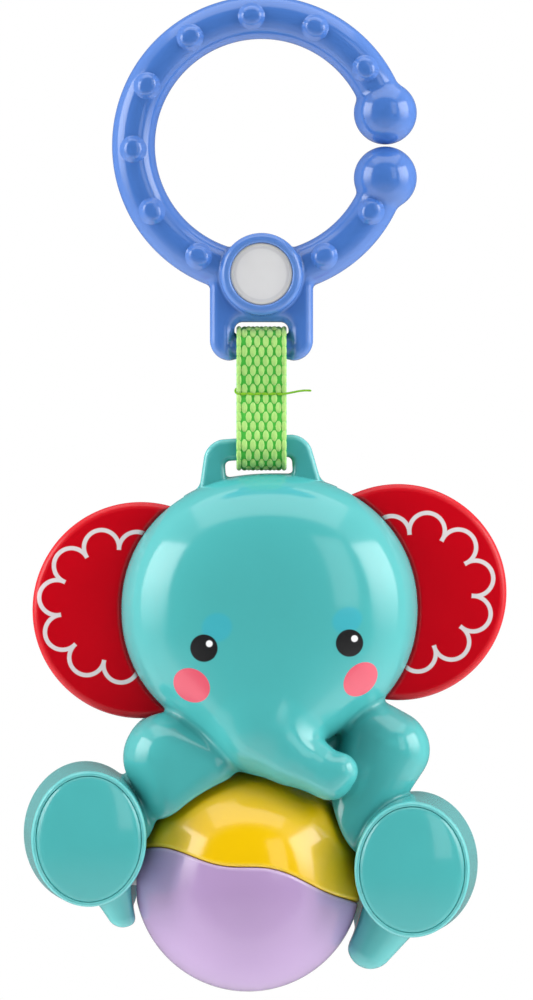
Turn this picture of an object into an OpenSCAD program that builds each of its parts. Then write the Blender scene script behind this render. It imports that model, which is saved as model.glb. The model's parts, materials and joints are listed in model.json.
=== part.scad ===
// Hanging baby rattle: a sitting elephant that hugs a spinning ball, on a webbing loop and a clip ring.
// The origin is the centre of the clip ring. +X is the viewer's right, -Y faces the viewer, +Z is up.

/* [Clip ring] */
// Radius of the ring's centre line
ring_r = 25.6; // [22:0.1:30]
// Diameter of the ring's round tube
tube_d = 8.6; // [7:0.1:10]
// Diameter of the two ball ends
end_ball_d = 12.6; // [11:0.1:14]
// Gap between the two ball ends
clip_gap = 0.4; // [0.2:0.1:2]
// Diameter of the teething bumps
bump_d = 5.6; // [4:0.1:6.5]
// How far a bump stands out of the tube
bump_proud = 1.3; // [0.8:0.1:1.8]
// Angle from one bump to the next, counted from the hub
bump_step = 29.25; // [26:0.25:29.5]

/* [Hub and strap plate] */
// Diameter of the round hub
hub_d = 16.4; // [15:0.1:18]
// Thickness of the hub, front to back
hub_t = 11; // [10:0.1:13]
// Radius of the hub's rounded rim
hub_edge = 1.4; // [0.8:0.1:2]
// Diameter of the inlaid hub disc
disc_d = 12.2; // [11:0.1:13]
// Thickness of the hub disc
disc_t = 1; // [0.8:0.1:1.4]
// How far the disc lies below the hub's face
disc_sunk = 0.6; // [0.3:0.1:1]
// Width of the strap plate
plate_w = 20.6; // [19:0.1:24]
// Thickness of the strap plate
plate_t = 6.4; // [6:0.1:8]
// Radius of the plate's lower corners
plate_corner = 4; // [3:0.1:5]
// Radius of the plate's rounded edges
plate_edge = 1.7; // [1:0.1:2.2]
// Diameter of the bar that the strap hangs from
bar_d = 5; // [4.5:0.1:5.6]
// Height of the slot above that bar
slot_h = 2.4; // [2:0.1:3]
// Height of the web between the hub and the slot
slot_web = 1.2; // [0.8:0.1:2]

/* [Strap] */
// Width of the webbing
strap_w = 10; // [8:0.1:10.5]
// Thickness of the webbing
strap_t = 1.2; // [1:0.1:1.4]
// Distance between the ring's bar and the toy's bar
strap_len = 20.3; // [17:0.1:26]
// Distance of the stitched seam below the ring's bar
seam_drop = 9.5; // [8:0.1:11]
// Diameter of the sewing thread
thread_d = 0.5; // [0.4:0.05:0.7]
// Number of stitches across the webbing
stitches = 6; // [4:1:8]
// Length of the loose thread end
thread_tail = 5.4; // [3:0.1:8]

/* [Toy loop] */
// Width of the toy's loop at its top
loop_w = 21.5; // [19:0.1:24]
// Extra width of the loop where it meets the head
loop_flare = 3.4; // [1:0.1:4]
// Width of the loop's slot
loop_slot_w = 13.4; // [12:0.1:15]
// Height of the loop's slot at the middle
loop_slot_h = 2.9; // [2.6:0.1:4]
// Height of the loop's top bar
loop_bar_h = 4.4; // [3.8:0.1:4.6]
// Thickness of the loop
loop_t = 4.2; // [3.6:0.1:4.6]
// Chamfer of the loop's edges
loop_edge = 0.6; // [0.5:0.1:0.8]
// Tilt of the loop and the ears, seen from the front
head_tilt = 4; // [0:0.1:4.5]

/* [Head] */
// Width of the head
head_w = 59.4; // [56:0.1:64]
// Height of the head
head_h = 54.2; // [51:0.1:58]
// Depth of the head in front of the joint plane
head_front = 19.5; // [18:0.1:21]
// Depth of the back half as a share of the front half
rear_share = 0.72; // [0.65:0.01:0.8]
// Squareness of the head's outline, where 2 is an ellipse
head_square = 2.1; // [2:0.05:2.4]
// Squareness of the head's section, where 2 is a plain dome
dome_square = 2.5; // [2.2:0.05:2.8]
// Wall of the two moulded shells
wall = 2; // [1.6:0.1:2.2]

/* [Ears] */
// Diameter of an ear disc
ear_d = 43.2; // [40:0.1:46]
// Distance of an ear's centre from the rocking pin
ear_reach = 25.8; // [24:0.1:27]
// Thickness of the ears
ear_t = 6; // [5:0.1:7]
// Chamfer of the ears' edges
ear_edge = 1; // [0.6:0.1:1.4]
// Running gap between the head and the ears
ear_gap = 0.7; // [0.5:0.1:1]
// Thickness of the bar that joins the ears inside the head
yoke_t = 2.6; // [2.2:0.1:3.2]
// Height of that bar
yoke_h = 16; // [12:0.1:18]
// How far the ears rock to each side
rock = 5; // [3:0.5:6]
// Height of the rocking pin above the head's middle
pivot_rise = 1.6; // [0:0.1:3]
// Diameter of the rocking pin
pivot_d = 5; // [4:0.1:6]
// Length of the rocking pin
pivot_len = 16; // [15:0.1:20]

/* [Ball] */
// Diameter of the spinning ball
ball_d = 45.4; // [44.5:0.1:47]
// Wall of the ball's two halves
ball_wall = 2; // [1.6:0.1:2.6]
// Gap between the ball and its pocket
ball_gap = 1; // [0.8:0.1:1.5]
// Height of the waves of the ball's seam
seam_wave = 5.2; // [4.5:0.1:6]
// Turn of the ball at rest
ball_turn = 9.5; // [0:0.5:12]
// Diameter of the steel axle
axle_d = 3; // [2.5:0.1:3.5]
// Depth that the axle is seated in each leg
axle_seat = 3.2; // [2.6:0.1:3.4]
// Drop of the ball's centre below the head's lowest point
ball_drop = 26.6; // [26:0.1:28]
// Offset of the ball to the left of the head
ball_left = 4.3; // [3:0.1:5]
// Diameter of a rattle bead
bead_d = 5; // [4:0.1:6]

/* [Limbs] */
// Width of a foot at its root
foot_w = 24.4; // [23:0.1:26]
// Height of a foot at its root
foot_h = 28.4; // [27:0.1:30]
// How far a foot stands in front of the joint plane
foot_front = 21.5; // [19:0.1:23]
// How much a foot narrows towards its sole
foot_draft = 0.9; // [0.6:0.1:1.4]
// Distance of a foot's middle from the ball's middle
foot_reach = 33.2; // [32.5:0.1:34.5]
// Height of the feet above the ball's middle
foot_rise = 6.1; // [5:0.1:7]
// Turn of the pair of feet, seen from the front
feet_tilt = 5.2; // [0:0.1:8]
// Turn of the pair of legs, seen from the front
legs_tilt = 8; // [4:0.1:9]
// Width of the rim round a sole
sole_rim = 1.1; // [1:0.1:1.6]
// Thickness of a sole cap
sole_t = 1.6; // [1.2:0.1:2]

/* [Screws] */
// Diameter of the screws' shank
screw_d = 2.6; // [2.2:0.1:3]
// Diameter of the screws' head
screw_head_d = 5; // [4.4:0.1:5.6]
// Height of the screws' head
screw_head_h = 1.8; // [1.4:0.1:2.2]
// Length of the screws' shank
screw_len = 11; // [9:0.1:12]

/* [Hidden] */
$fn = 48;

// Clearances: running on pins, seated pieces, and moving pieces beside a wall
run_fit = 0.06;
seat_fit = 0.12;
clear = 0.4;
// More than enough to cut through everything, and a little past the joint plane
through = 200;
skirt = 1;

RING_BLUE = [0.27, 0.46, 0.75];
TEAL = [0.32, 0.72, 0.72];
RED = [0.72, 0.01, 0.1];
YELLOW = [0.93, 0.76, 0.02];
LILAC = [0.76, 0.65, 0.82];
LIME = [0.56, 0.86, 0.4];
THREAD = [0.72, 0.83, 0.16];
WHITE = [0.86, 0.86, 0.86];
STEEL = [0.72, 0.73, 0.75];
BEAD = [0.9, 0.5, 0.2];

// Where the ring's pieces lie
end_angle = asin((end_ball_d + clip_gap) / 2 / ring_r);
hub_z = -ring_r - 0.3;
slot_top = hub_z - hub_d / 2 - slot_web;
bar_z = slot_top - slot_h - bar_d / 2;
plate_bottom = bar_z - bar_d / 2 - 0.3;
slot_w = strap_w + 0.8;

// Where the strap lies: radii of its two wraps, and the seam that pinches it. The lower wrap goes round
// the loop's bar, whose stepped edges stand higher at one end of the strap because the head tilts.
loop_x = -0.8;
bar_shift = (strap_w / 2 + abs(loop_x)) * tan(head_tilt);
bar_edges = [[loop_t / 2, loop_bar_h / 2 - loop_edge], [loop_t / 2 - loop_edge, loop_bar_h / 2]];
upper_wrap = bar_d / 2 + clear / 2;
lower_wrap = max([for (p = bar_edges) norm(p + [0, bar_shift])]) + clear / 3;
seam_z = bar_z - seam_drop;
loop_bar_z = bar_z - strap_len;

// Centres of the head, the ears' pin and the ball, as [x, z]
head_rx = head_w / 2;
head_rz = head_h / 2;
head_c = [loop_x + 2.4, loop_bar_z - loop_bar_h / 2 - loop_slot_h - head_rz];
pivot_c = head_c + [0, pivot_rise];
ball_c = head_c - [ball_left, head_rz + ball_drop];
ball_r = ball_d / 2;
pocket_r = ball_r + ball_gap;

// Scales of the trunk, which goes with the head, and of the limbs, which go with the ball
trunk_k = head_w / 59.4;
limb_k = ball_d / 45.4;

// The ears' inner edge follows the head's outline, this far from its middle at the widest place
ear_inner = head_rx + ear_gap;
yoke_hub_t = 7;
yoke_hub_d = pivot_d + 6;

// Feet and legs are mirrored pairs about the ball, each pair turned a little: side is -1 or 1
function turned(p, a) = [p.x * cos(a) + p.y * sin(a), p.y * cos(a) - p.x * sin(a)];
function foot_c(side) = ball_c + turned([side * foot_reach, foot_rise], feet_tilt);
legs_c = ball_c + [1.2 * limb_k, 0];
function hip_c(side) = legs_c + turned([side * (pocket_r + 4.8 * limb_k), -0.3 * limb_k], legs_tilt);
function heel_c(side) = legs_c + turned([side * (pocket_r + 1.3 * limb_k), -10.2 * limb_k], legs_tilt);
function heel_r(side) = (side < 0 ? 3.3 : 4.6) * limb_k;

// The sole plane of a foot is shifted towards the ball
foot_shift = 1.4;
sole_rx = foot_w / 2 - foot_draft - sole_rim;
sole_rz = foot_h / 2 - foot_draft - sole_rim;

// Four screws: two in the head above the yoke, one in the middle of each foot
screw_places = [head_c + [-13.4, 15.4], head_c + [13.4, 15.4], foot_c(-1), foot_c(1)];
screw_seat = 3.4;
boss_d = screw_d + 3.8;

// A 2D rectangle with round corners, from exact arcs
module round_rect(size, r) {
    square([size.x - 2 * r, size.y], center = true);
    square([size.x, size.y - 2 * r], center = true);
    for (sx = [-1, 1], sy = [-1, 1])
        translate([sx * (size.x / 2 - r), sy * (size.y / 2 - r)]) circle(r);
}

// A 2D drop: a round head of radius r1 at the origin, which narrows down to a round of radius r2
module drop(r1, r2, fall) {
    a = asin((r1 - r2) / fall);
    root = 0.96 * r1;
    steps = 6;
    circle(r1);
    polygon([
        [root * cos(a), -root * sin(a)],
        [-root * cos(a), -root * sin(a)],
        for (k = [0 : steps]) let (t = 180 + a + (180 - 2 * a) * k / steps) [r2 * cos(t), r2 * sin(t) - fall]
    ]);
}

// Stands a shape drawn in X and Y up into X and Z, with its extrusion running along Y about the joint plane
module upright() {
    rotate([90, 0, 0]) children();
}

// A cylinder along Y from y0 to y1
module along_y(r, y0, y1) {
    translate([0, y1, 0]) rotate([90, 0, 0]) cylinder(r = r, h = y1 - y0);
}

// A cylinder along X from x0 to x1
module along_x(r, x0, x1) {
    translate([x0, 0, 0]) rotate([0, 90, 0]) cylinder(r = r, h = x1 - x0);
}

// Clip ring: tube, ball ends, teething bumps, hub and strap plate
module ring_bumps() {
    depth = tube_d / 2 + bump_proud - bump_d / 2;
    for (k = [-8 : 2], face = [-1, 1]) if (k != 0) {
        a = 270 + k * bump_step;
        translate([ring_r * cos(a), face * depth, ring_r * sin(a)]) sphere(d = bump_d);
    }
}

module strap_plate() {
    top = hub_z;
    h = top - plate_bottom + plate_corner;
    intersection() {
        translate([0, 0, plate_bottom + h / 2]) upright()
            linear_extrude(plate_t, center = true) round_rect([plate_w, h], plate_corner);
        translate([0, 0, plate_bottom + h / 2])
            linear_extrude(h, center = true) round_rect([plate_w, plate_t], plate_edge);
        translate([0, 0, plate_bottom + h / 2]) rotate([90, 0, 90])
            linear_extrude(plate_w, center = true) round_rect([plate_t, h], plate_edge);
        translate([0, 0, top - through / 2]) cube(through, center = true);
    }
}

module hub_form() {
    steps = 3;
    rim = [for (k = [0 : steps]) let (a = 90 * k / steps)
        [hub_d / 2 - hub_edge * (1 - sin(a)), hub_t / 2 - hub_edge * (1 - cos(a))]];
    translate([0, 0, hub_z]) upright() rotate_extrude() polygon([
        [0, hub_t / 2],
        each rim,
        for (k = [steps : -1 : 0]) [rim[k].x, -rim[k].y],
        [0, -hub_t / 2]
    ]);
}

module clip_ring() {
    color(RING_BLUE) difference() {
        union() {
            upright() rotate_extrude(angle = 360 - 2 * end_angle, start = end_angle)
                translate([ring_r, 0]) circle(d = tube_d);
            for (side = [-1, 1])
                translate([ring_r * cos(end_angle), 0, side * ring_r * sin(end_angle)]) sphere(d = end_ball_d);
            ring_bumps();
            hub_form();
            difference() {
                strap_plate();
                translate([0, 0, slot_top - through / 2]) cube([slot_w, through, through], center = true);
            }
            translate([0, 0, bar_z]) along_x(bar_d / 2, -slot_w / 2 - 1, slot_w / 2 + 1);
        }
        translate([0, 0, hub_z]) along_y(disc_d / 2 + seat_fit, -through, -(hub_t / 2 - disc_sunk - disc_t));
    }
}

// The disc let into the hub, with a rounded front edge
module hub_disc() {
    edge = disc_t * 0.4;
    color(WHITE) translate([0, -(hub_t / 2 - disc_sunk - disc_t), hub_z]) upright() rotate_extrude() {
        square([disc_d / 2 - edge, disc_t]);
        square([disc_d / 2, disc_t - edge]);
        translate([disc_d / 2 - edge, disc_t - edge]) circle(edge);
    }
}

// Webbing loop: two drops back to back, sewn together at the seam
module strap() {
    color(LIME) rotate([90, 0, 90]) linear_extrude(strap_w, center = true) difference() {
        union() {
            translate([0, bar_z]) drop(upper_wrap + strap_t, strap_t, seam_drop);
            translate([0, loop_bar_z]) rotate(180)
                drop(lower_wrap + strap_t, strap_t, strap_len - seam_drop);
        }
        translate([0, bar_z]) drop(upper_wrap, 0.2, seam_drop - strap_t);
        translate([0, loop_bar_z]) rotate(180) drop(lower_wrap, 0.2, strap_len - seam_drop - strap_t);
    }
}

// One unbroken thread that goes over and under the webbing, with a loose end at the right
module strap_stitch() {
    r = thread_d / 2;
    pitch = (strap_w - 1) / stitches;
    face = strap_t + r;
    color(THREAD) translate([0, 0, seam_z]) {
        for (k = [0 : stitches - 1]) {
            x0 = -strap_w / 2 + 0.5 + k * pitch;
            side = k % 2 == 0 ? -1 : 1;
            translate([0, side * face, 0]) along_x(r, x0, x0 + pitch);
        }
        for (k = [0 : stitches]) {
            x0 = -strap_w / 2 + 0.5 + k * pitch;
            translate([x0, 0, 0]) along_y(r, -face, face);
            for (side = [-1, 1]) translate([x0, side * face, 0]) sphere(r);
        }
        translate([strap_w / 2 - 0.5, -face, 0]) rotate([0, -14, 0]) {
            along_x(r, 0, thread_tail);
            translate([thread_tail, 0, 0]) sphere(r);
        }
    }
}

// The elephant's outer form. Each module is drawn inset by i, so that the same form is the cavity.
// A half superellipsoid: front half of the head, with a short skirt past the joint plane
module head_form(i) {
    around = i > 0 ? 28 : 40;
    rows = i > 0 ? 6 : 8;
    function power(v, n) = sign(v) * pow(abs(v), 2 / n);
    function row_r(k) = power(cos(90 * k / rows), dome_square);
    function row_y(k) = power(sin(90 * k / rows), dome_square);
    // Every other row is turned by half a step, so that no two triangles share a plane
    function shift(k) = max(k, 0) % 2 / 2;
    points = [
        for (k = [-1 : rows - 1], s = [0 : around - 1]) let (a = 360 * (s + shift(k)) / around, j = max(k, 0)) [
            (head_rx - i) * row_r(j) * power(cos(a), head_square),
            k < 0 ? skirt : -(head_front - i) * row_y(j),
            (head_rz - i) * row_r(j) * power(sin(a), head_square)
        ],
        [0, -(head_front - i), 0]
    ];
    faces = [
        [for (s = [0 : around - 1]) s],
        for (k = [0 : rows - 1], s = [0 : around - 1])
            let (a = k * around, b = a + around, t = (s + 1) % around, turned = shift(k) > shift(k - 1))
                each turned ? [[a + s, b + s, a + t], [a + t, b + s, b + t]]
                    : [[a + s, b + t, a + t], [a + s, b + s, b + t]],
        for (s = [0 : around - 1])
            [rows * around + s, (rows + 1) * around, rows * around + (s + 1) % around]
    ];
    translate([head_c.x, 0, head_c.y]) polyhedron(points, faces);
}

// A ball at p = [x, y, z, r] from the centre c, inset by i. The cavity's are coarser, as nobody sees them.
module lobe(c, p, i) {
    translate([c.x + p[0], p[1], c.y + p[2]]) sphere(p[3] - i, $fn = i > 0 ? 16 : 24);
}

// Head and trunk: the face narrows into the trunk, and its tip curls to the viewer's right
module trunk_form(i) {
    root = trunk_k * [-1.3, -9.6, -22.3, 10.1];
    bend = trunk_k * [4, -13, -28, 6.3];
    curl = trunk_k * [11.9, -14.5, -32.6, 4.5];
    tip = trunk_k * [13.7, -15.6, -31.6, 3.7];
    module at(p) lobe(head_c, p, i);
    hull() { head_form(i); at(root); }
    hull() { at(root); at(bend); }
    hull() { at(bend); at(curl); }
    hull() { at(curl); at(tip); }
}

// Arms that reach round the ball from both sides
module arms_form(i) {
    left = [[-15.9, -6, 24.4, 8.9], [-15, -9, 17.1, 6], [-7.4, -9.5, 22.8, 5.4]];
    right = [[25.4, -4, 28.7, 6.7], [28.7, -5, 25.8, 7.5], [20.7, -7, 10.3, 5.5]];
    for (arm = [left, right]) hull() for (p = arm) lobe(ball_c, limb_k * p, i);
}

// Legs beside the ball, which carry its axle
module legs_form(i) {
    for (side = [-1, 1]) hull() {
        lobe(hip_c(side), limb_k * [0, -2, 0, 7.3], i);
        lobe(heel_c(side), [0, -limb_k, 0, heel_r(side)], i);
    }
}

// Body band round the top of the ball, which ties the legs, arms and head together
module body_form(i) {
    translate([ball_c.x, 0, ball_c.y]) upright() rotate_extrude(angle = 180, $fn = 48)
        translate([pocket_r + 3.2 * limb_k, 0]) circle(5.4 * limb_k - i, $fn = 16);
}

// An oval slab from y0 to y1
module oval(c, rx, rz, y0, y1) {
    translate([c.x, 0, c.y]) scale([rx, 1, rz]) along_y(1, y0, y1, $fn = 40);
}

// A foot: an oval drum that narrows towards its sole, with a rounded front edge
module foot_form(side, i) {
    c = foot_c(side);
    sole_c = c - [side * foot_shift, 0];
    rx = foot_w / 2 - i;
    rz = foot_h / 2 - i;
    edge = 1;
    front = foot_front - (i > 0 ? wall + sole_t : 0);
    hull() {
        oval(c, rx, rz, -3, skirt);
        oval(sole_c, rx - foot_draft, rz - foot_draft, -(front - edge), -3);
        oval(sole_c, rx - foot_draft - edge * 0.3, rz - foot_draft - edge * 0.3, -(front - edge * 0.3), -3);
        oval(sole_c, rx - foot_draft - edge, rz - foot_draft - edge, -front, -3);
    }
}

// The back of a foot, a shallow rounded cap
module foot_back_form(side, i) {
    c = foot_c(side);
    rx = foot_w / 2 - i;
    rz = foot_h / 2 - i;
    depth = 8 - i;
    hull() for (a = [0 : 22.5 : 90])
        oval(c, rx * cos(a * 0.7), rz * cos(a * 0.7), -skirt, depth * sin(a));
}

module front_form(i) {
    trunk_form(i);
    arms_form(i);
    legs_form(i);
    body_form(i);
    for (side = [-1, 1]) foot_form(side, i);
}

// The back half: the same limbs and head, shallower, and mirrored behind the joint plane
module rear_form(i) {
    mirror([0, 1, 0]) scale([1, rear_share, 1]) {
        head_form(i);
        arms_form(i);
        legs_form(i);
        body_form(i);
    }
    for (side = [-1, 1]) foot_back_form(side, i);
}

// Room for the ball, grown by g
module pocket(g = 0) {
    translate([ball_c.x, 0, ball_c.y]) sphere(pocket_r + g, $fn = g > 0 ? 32 : 56);
}

// Everything on one side of the joint plane: side is -1 in front and 1 behind
module half_space(side) {
    translate([0, side * through / 2, -through / 2]) cube([through, through, 2 * through], center = true);
}

// A shell of the given form on one side of the joint plane, with a wall round the ball's pocket
module hollow_half(side) {
    difference() {
        children(0);
        difference() {
            children(1);
            pocket(wall);
        }
        pocket();
        half_space(-side);
    }
}

// A superellipse round the head's outline, grown by g, through the whole depth
module head_outline(g) {
    function power(v) = sign(v) * pow(abs(v), 2 / head_square);
    translate([head_c.x, 0, head_c.y]) upright() linear_extrude(through, center = true) polygon([
        for (a = [0 : 6 : 354]) [(head_rx + g) * power(cos(a)), (head_rz + g) * power(sin(a))]
    ]);
}

// Turns what is drawn about the origin to the ears' pin, at the ears' resting angle
module at_pivot() {
    translate([pivot_c.x, 0, pivot_c.y]) rotate([0, -head_tilt, 0]) children();
}

// The space that the ears and their bar sweep as they rock, with room to spare
module ear_sweep() {
    room = ear_t / 2 + clear;
    difference() {
        at_pivot() for (a = [-rock, 0, rock], side = [-1, 1]) rotate([0, a, 0])
            translate([side * ear_reach, 0, 0]) along_y(ear_d / 2 + clear, -room, room);
        head_outline(ear_gap - clear);
    }
    at_pivot() {
        for (a = [-rock, rock]) rotate([0, a, 0])
            cube([2 * ear_inner, yoke_t + 2 * clear, yoke_h + 2 * clear], center = true);
        along_y(yoke_hub_d / 2 + clear, -yoke_hub_t / 2 - seat_fit, yoke_hub_t / 2 + seat_fit);
    }
}

// Sockets for the ears' pin and posts for the screws, from the wall to the joint plane
module posts() {
    translate([pivot_c.x, 0, pivot_c.y]) along_y(yoke_hub_d / 2, -through, through, $fn = 32);
    for (p = screw_places) translate([p.x, 0, p.y]) along_y(boss_d / 2, -through, through, $fn = 20);
    axle_blocks();
}

// Blocks in the legs that the axle's ends lie in
module axle_blocks() {
    for (side = [-1, 1])
        translate([ball_c.x + side * (pocket_r + axle_seat / 2 + 0.6), 0, ball_c.y])
            along_x(axle_d / 2 + 2, -axle_seat / 2 - 0.6, axle_seat / 2 + 0.6);
}

module axle_bore() {
    reach = pocket_r + axle_seat + seat_fit;
    translate([ball_c.x, 0, ball_c.y]) along_x(axle_d / 2 + seat_fit, -reach, reach);
}

module pivot_bore() {
    translate([pivot_c.x, 0, pivot_c.y])
        along_y(pivot_d / 2 + seat_fit, -pivot_len / 2 - seat_fit, pivot_len / 2 + seat_fit);
}

// Front shell: face, trunk, arms and feet in one moulding
module front_shell() {
    color(TEAL) difference() {
        union() {
            hollow_half(-1) { front_form(0); front_form(wall); }
            intersection() {
                difference() { front_form(wall / 2); pocket(); }
                posts();
                half_space(-1);
            }
        }
        ear_sweep();
        axle_bore();
        pivot_bore();
        loop_plate(seat_fit);
        for (side = [-1, 1]) sole_seat(side);
        for (p = screw_places)
            translate([p.x, 0, p.y]) along_y(screw_d / 2 + seat_fit, screw_seat - screw_len - seat_fit, 1);
    }
}

// The loop at the top of the head, grown by g, with chamfered edges
module loop_plate(g = 0) {
    foot_z = -loop_bar_h / 2 - loop_slot_h - 4;
    module outline(grow) {
        offset(grow) hull() {
            for (s = [-1, 1]) translate([s * (loop_w / 2 - 3.4), loop_bar_h / 2 - 3.4]) circle(3.4);
            translate([0, foot_z]) square([loop_w + loop_flare, 0.1], center = true);
        }
    }
    translate([loop_x, 0, loop_bar_z]) rotate([0, -head_tilt, 0]) upright() {
        linear_extrude(loop_t + 2 * g, center = true) outline(g - loop_edge);
        linear_extrude(loop_t - 2 * loop_edge + 2 * g, center = true) outline(g);
    }
}

// The loop's slot, stepped wider at both faces so that the webbing clears the bar's edges
module loop_slot() {
    tall = loop_slot_h + 0.8;
    translate([loop_x, 0, loop_bar_z]) rotate([0, -head_tilt, 0]) upright()
        translate([0, -(loop_bar_h + tall) / 2, 0]) {
            linear_extrude(through, center = true) round_rect([loop_slot_w, tall], 1);
            for (face = [-1, 1]) translate([0, 0, face * (loop_t / 2 + skirt / 2)])
                linear_extrude(skirt + 2 * loop_edge, center = true)
                    round_rect([loop_slot_w + 2 * loop_edge, tall + 2 * loop_edge], 1 + loop_edge);
        }
}

// Rear shell: the toy's back, with the loop, the screws' holes and the pins' sockets
module rear_shell() {
    color(TEAL) difference() {
        union() {
            hollow_half(1) { rear_form(0); rear_form(wall); }
            intersection() {
                difference() { rear_form(wall / 2); pocket(); }
                posts();
                half_space(1);
            }
            difference() {
                loop_plate();
                loop_slot();
            }
        }
        ear_sweep();
        axle_bore();
        pivot_bore();
        for (p = screw_places) translate([p.x, 0, p.y]) {
            along_y(screw_d / 2 + seat_fit, -1, through);
            along_y(screw_head_d / 2 + clear, screw_seat, through);
        }
    }
}

// Sole caps: shallow domed ovals let into the front of the feet
module sole_seat(side) {
    c = foot_c(side) - [side * foot_shift, 0];
    oval(c, sole_rx + seat_fit, sole_rz + seat_fit, -foot_front - 1, -foot_front + sole_t);
}

module sole(side) {
    c = foot_c(side) - [side * foot_shift, 0];
    color(TEAL) hull() {
        oval(c, sole_rx, sole_rz, -foot_front + 0.4, -foot_front + sole_t);
        oval(c, sole_rx - 0.5, sole_rz - 0.5, -foot_front, -foot_front + sole_t);
    }
}

module left_sole() { sole(-1); }

module right_sole() { sole(1); }

// Ears and the bar that joins them, in one moulding that rocks on the pin
module ear_yoke() {
    module disc_section(r) {
        polygon([
            [0, -ear_t / 2], [r - ear_edge, -ear_t / 2], [r, -ear_t / 2 + ear_edge],
            [r, ear_t / 2 - ear_edge], [r - ear_edge, ear_t / 2], [0, ear_t / 2]
        ]);
    }
    color(RED) difference() {
        union() {
            difference() {
                at_pivot() for (side = [-1, 1]) translate([side * ear_reach, 0, 0])
                    upright() rotate_extrude() disc_section(ear_d / 2);
                head_outline(ear_gap);
            }
            at_pivot() cube([2 * ear_inner + 4, yoke_t, yoke_h], center = true);
            at_pivot() along_y(yoke_hub_d / 2, -yoke_hub_t / 2, yoke_hub_t / 2);
        }
        at_pivot() along_y(pivot_d / 2 + run_fit, -through, through);
    }
}

module ear_pivot_pin() {
    color(STEEL) translate([pivot_c.x, 0, pivot_c.y]) along_y(pivot_d / 2, -pivot_len / 2, pivot_len / 2);
}

// Height of the ball's wavy seam, flat in the middle and at the ends
function seam_at(x) = let (t = x / ball_r) -seam_wave * (t - sin(360 * t) / (2 * PI));

// Everything above the seam (side 1) or below it (side -1), moved away from the seam by g
module seam_side(side, g = 0) {
    steps = 40;
    edge = ball_r + 2;
    rotate([-ball_turn, 0, 0]) upright() linear_extrude(through, center = true)
        translate([0, side * g]) polygon([
            for (k = [0 : steps]) let (x = ball_r * (2 * k / steps - 1)) [x, seam_at(x)],
            [edge, seam_at(ball_r)], [edge, side * edge], [-edge, side * edge], [-edge, seam_at(-ball_r)]
        ]);
}

// One half of the ball with the hub that its end of the axle runs in
module ball_half(side, hub_side) {
    hub_r = axle_d / 2 + 2.1;
    face = ball_r - 0.5;
    hub_len = 7;
    translate([ball_c.x, 0, ball_c.y]) difference() {
        intersection() {
            union() {
                difference() {
                    sphere(ball_r);
                    sphere(ball_r - ball_wall);
                }
                intersection() {
                    sphere(ball_r);
                    along_x(hub_r, min(hub_side * face, hub_side * (face - hub_len)),
                        max(hub_side * face, hub_side * (face - hub_len)));
                }
            }
            seam_side(side);
            cube([2 * face, through, through], center = true);
        }
        along_x(axle_d / 2 + run_fit, -through, through);
    }
}

module ball_upper() { color(YELLOW) ball_half(1, 1); }

module ball_lower() { color(LILAC) ball_half(-1, -1); }

module ball_axle() {
    reach = pocket_r + axle_seat;
    color(STEEL) translate([ball_c.x, 0, ball_c.y]) along_x(axle_d / 2, -reach, reach);
}

// Loose beads lying in the bottom of the ball: one in the middle and a ring round it
module rattle_beads() {
    reach = ball_r - ball_wall - bead_d / 2 - seat_fit;
    lean = 2 * asin((bead_d + 2 * seat_fit) / 2 / reach);
    color(BEAD) translate([ball_c.x, 0, ball_c.y]) {
        translate([0, 0, -reach]) sphere(d = bead_d);
        for (k = [0 : 4]) rotate([0, 0, 72 * k]) rotate([0, lean + 4, 0])
            translate([0, 0, -reach]) sphere(d = bead_d);
    }
}

// Pan-head screws with a cross recess, driven from the back
module shell_screws() {
    recess = screw_head_d * 0.55;
    color(STEEL) for (p = screw_places) translate([p.x, screw_seat, p.y]) difference() {
        union() {
            along_y(screw_d / 2, -screw_len, 0.1);
            along_y(screw_head_d / 2, 0, screw_head_h);
        }
        for (turn = [0, 90]) translate([0, screw_head_h, 0]) rotate([0, turn, 0])
            cube([recess, screw_head_h, 0.7], center = true);
    }
}

clip_ring();
hub_disc();
strap();
strap_stitch();
front_shell();
rear_shell();
left_sole();
right_sole();
ear_yoke();
ear_pivot_pin();
ball_upper();
ball_lower();
ball_axle();
rattle_beads();
shell_screws();
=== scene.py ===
"""Looks of a hanging rattle: an elephant that hugs a spinning ball, on a webbing loop and a clip ring.

Sizes are in millimetres, in the frame of the part, and become metres where a mesh is made.
"""

import json
import math

import bpy
import numpy as np
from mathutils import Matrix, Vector

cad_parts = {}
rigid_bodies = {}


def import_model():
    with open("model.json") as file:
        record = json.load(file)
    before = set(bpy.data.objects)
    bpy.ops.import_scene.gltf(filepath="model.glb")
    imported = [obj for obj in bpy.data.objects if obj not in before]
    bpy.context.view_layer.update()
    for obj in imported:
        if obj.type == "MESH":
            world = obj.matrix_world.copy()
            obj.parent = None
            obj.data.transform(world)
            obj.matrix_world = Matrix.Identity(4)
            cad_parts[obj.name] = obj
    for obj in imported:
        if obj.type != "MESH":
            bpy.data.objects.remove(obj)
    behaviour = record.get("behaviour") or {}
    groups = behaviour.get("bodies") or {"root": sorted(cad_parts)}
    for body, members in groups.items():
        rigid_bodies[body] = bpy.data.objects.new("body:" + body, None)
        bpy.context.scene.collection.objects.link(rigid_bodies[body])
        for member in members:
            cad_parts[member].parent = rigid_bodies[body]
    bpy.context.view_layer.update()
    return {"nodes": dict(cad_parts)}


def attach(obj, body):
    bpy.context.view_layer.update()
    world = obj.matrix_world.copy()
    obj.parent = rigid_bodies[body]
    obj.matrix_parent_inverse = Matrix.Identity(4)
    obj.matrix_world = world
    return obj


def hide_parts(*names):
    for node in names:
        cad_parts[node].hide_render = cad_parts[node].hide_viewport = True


for extra in list(bpy.data.objects):
    bpy.data.objects.remove(extra)
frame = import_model()

MM = 0.001
SIDES = (-1, 1)

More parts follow.
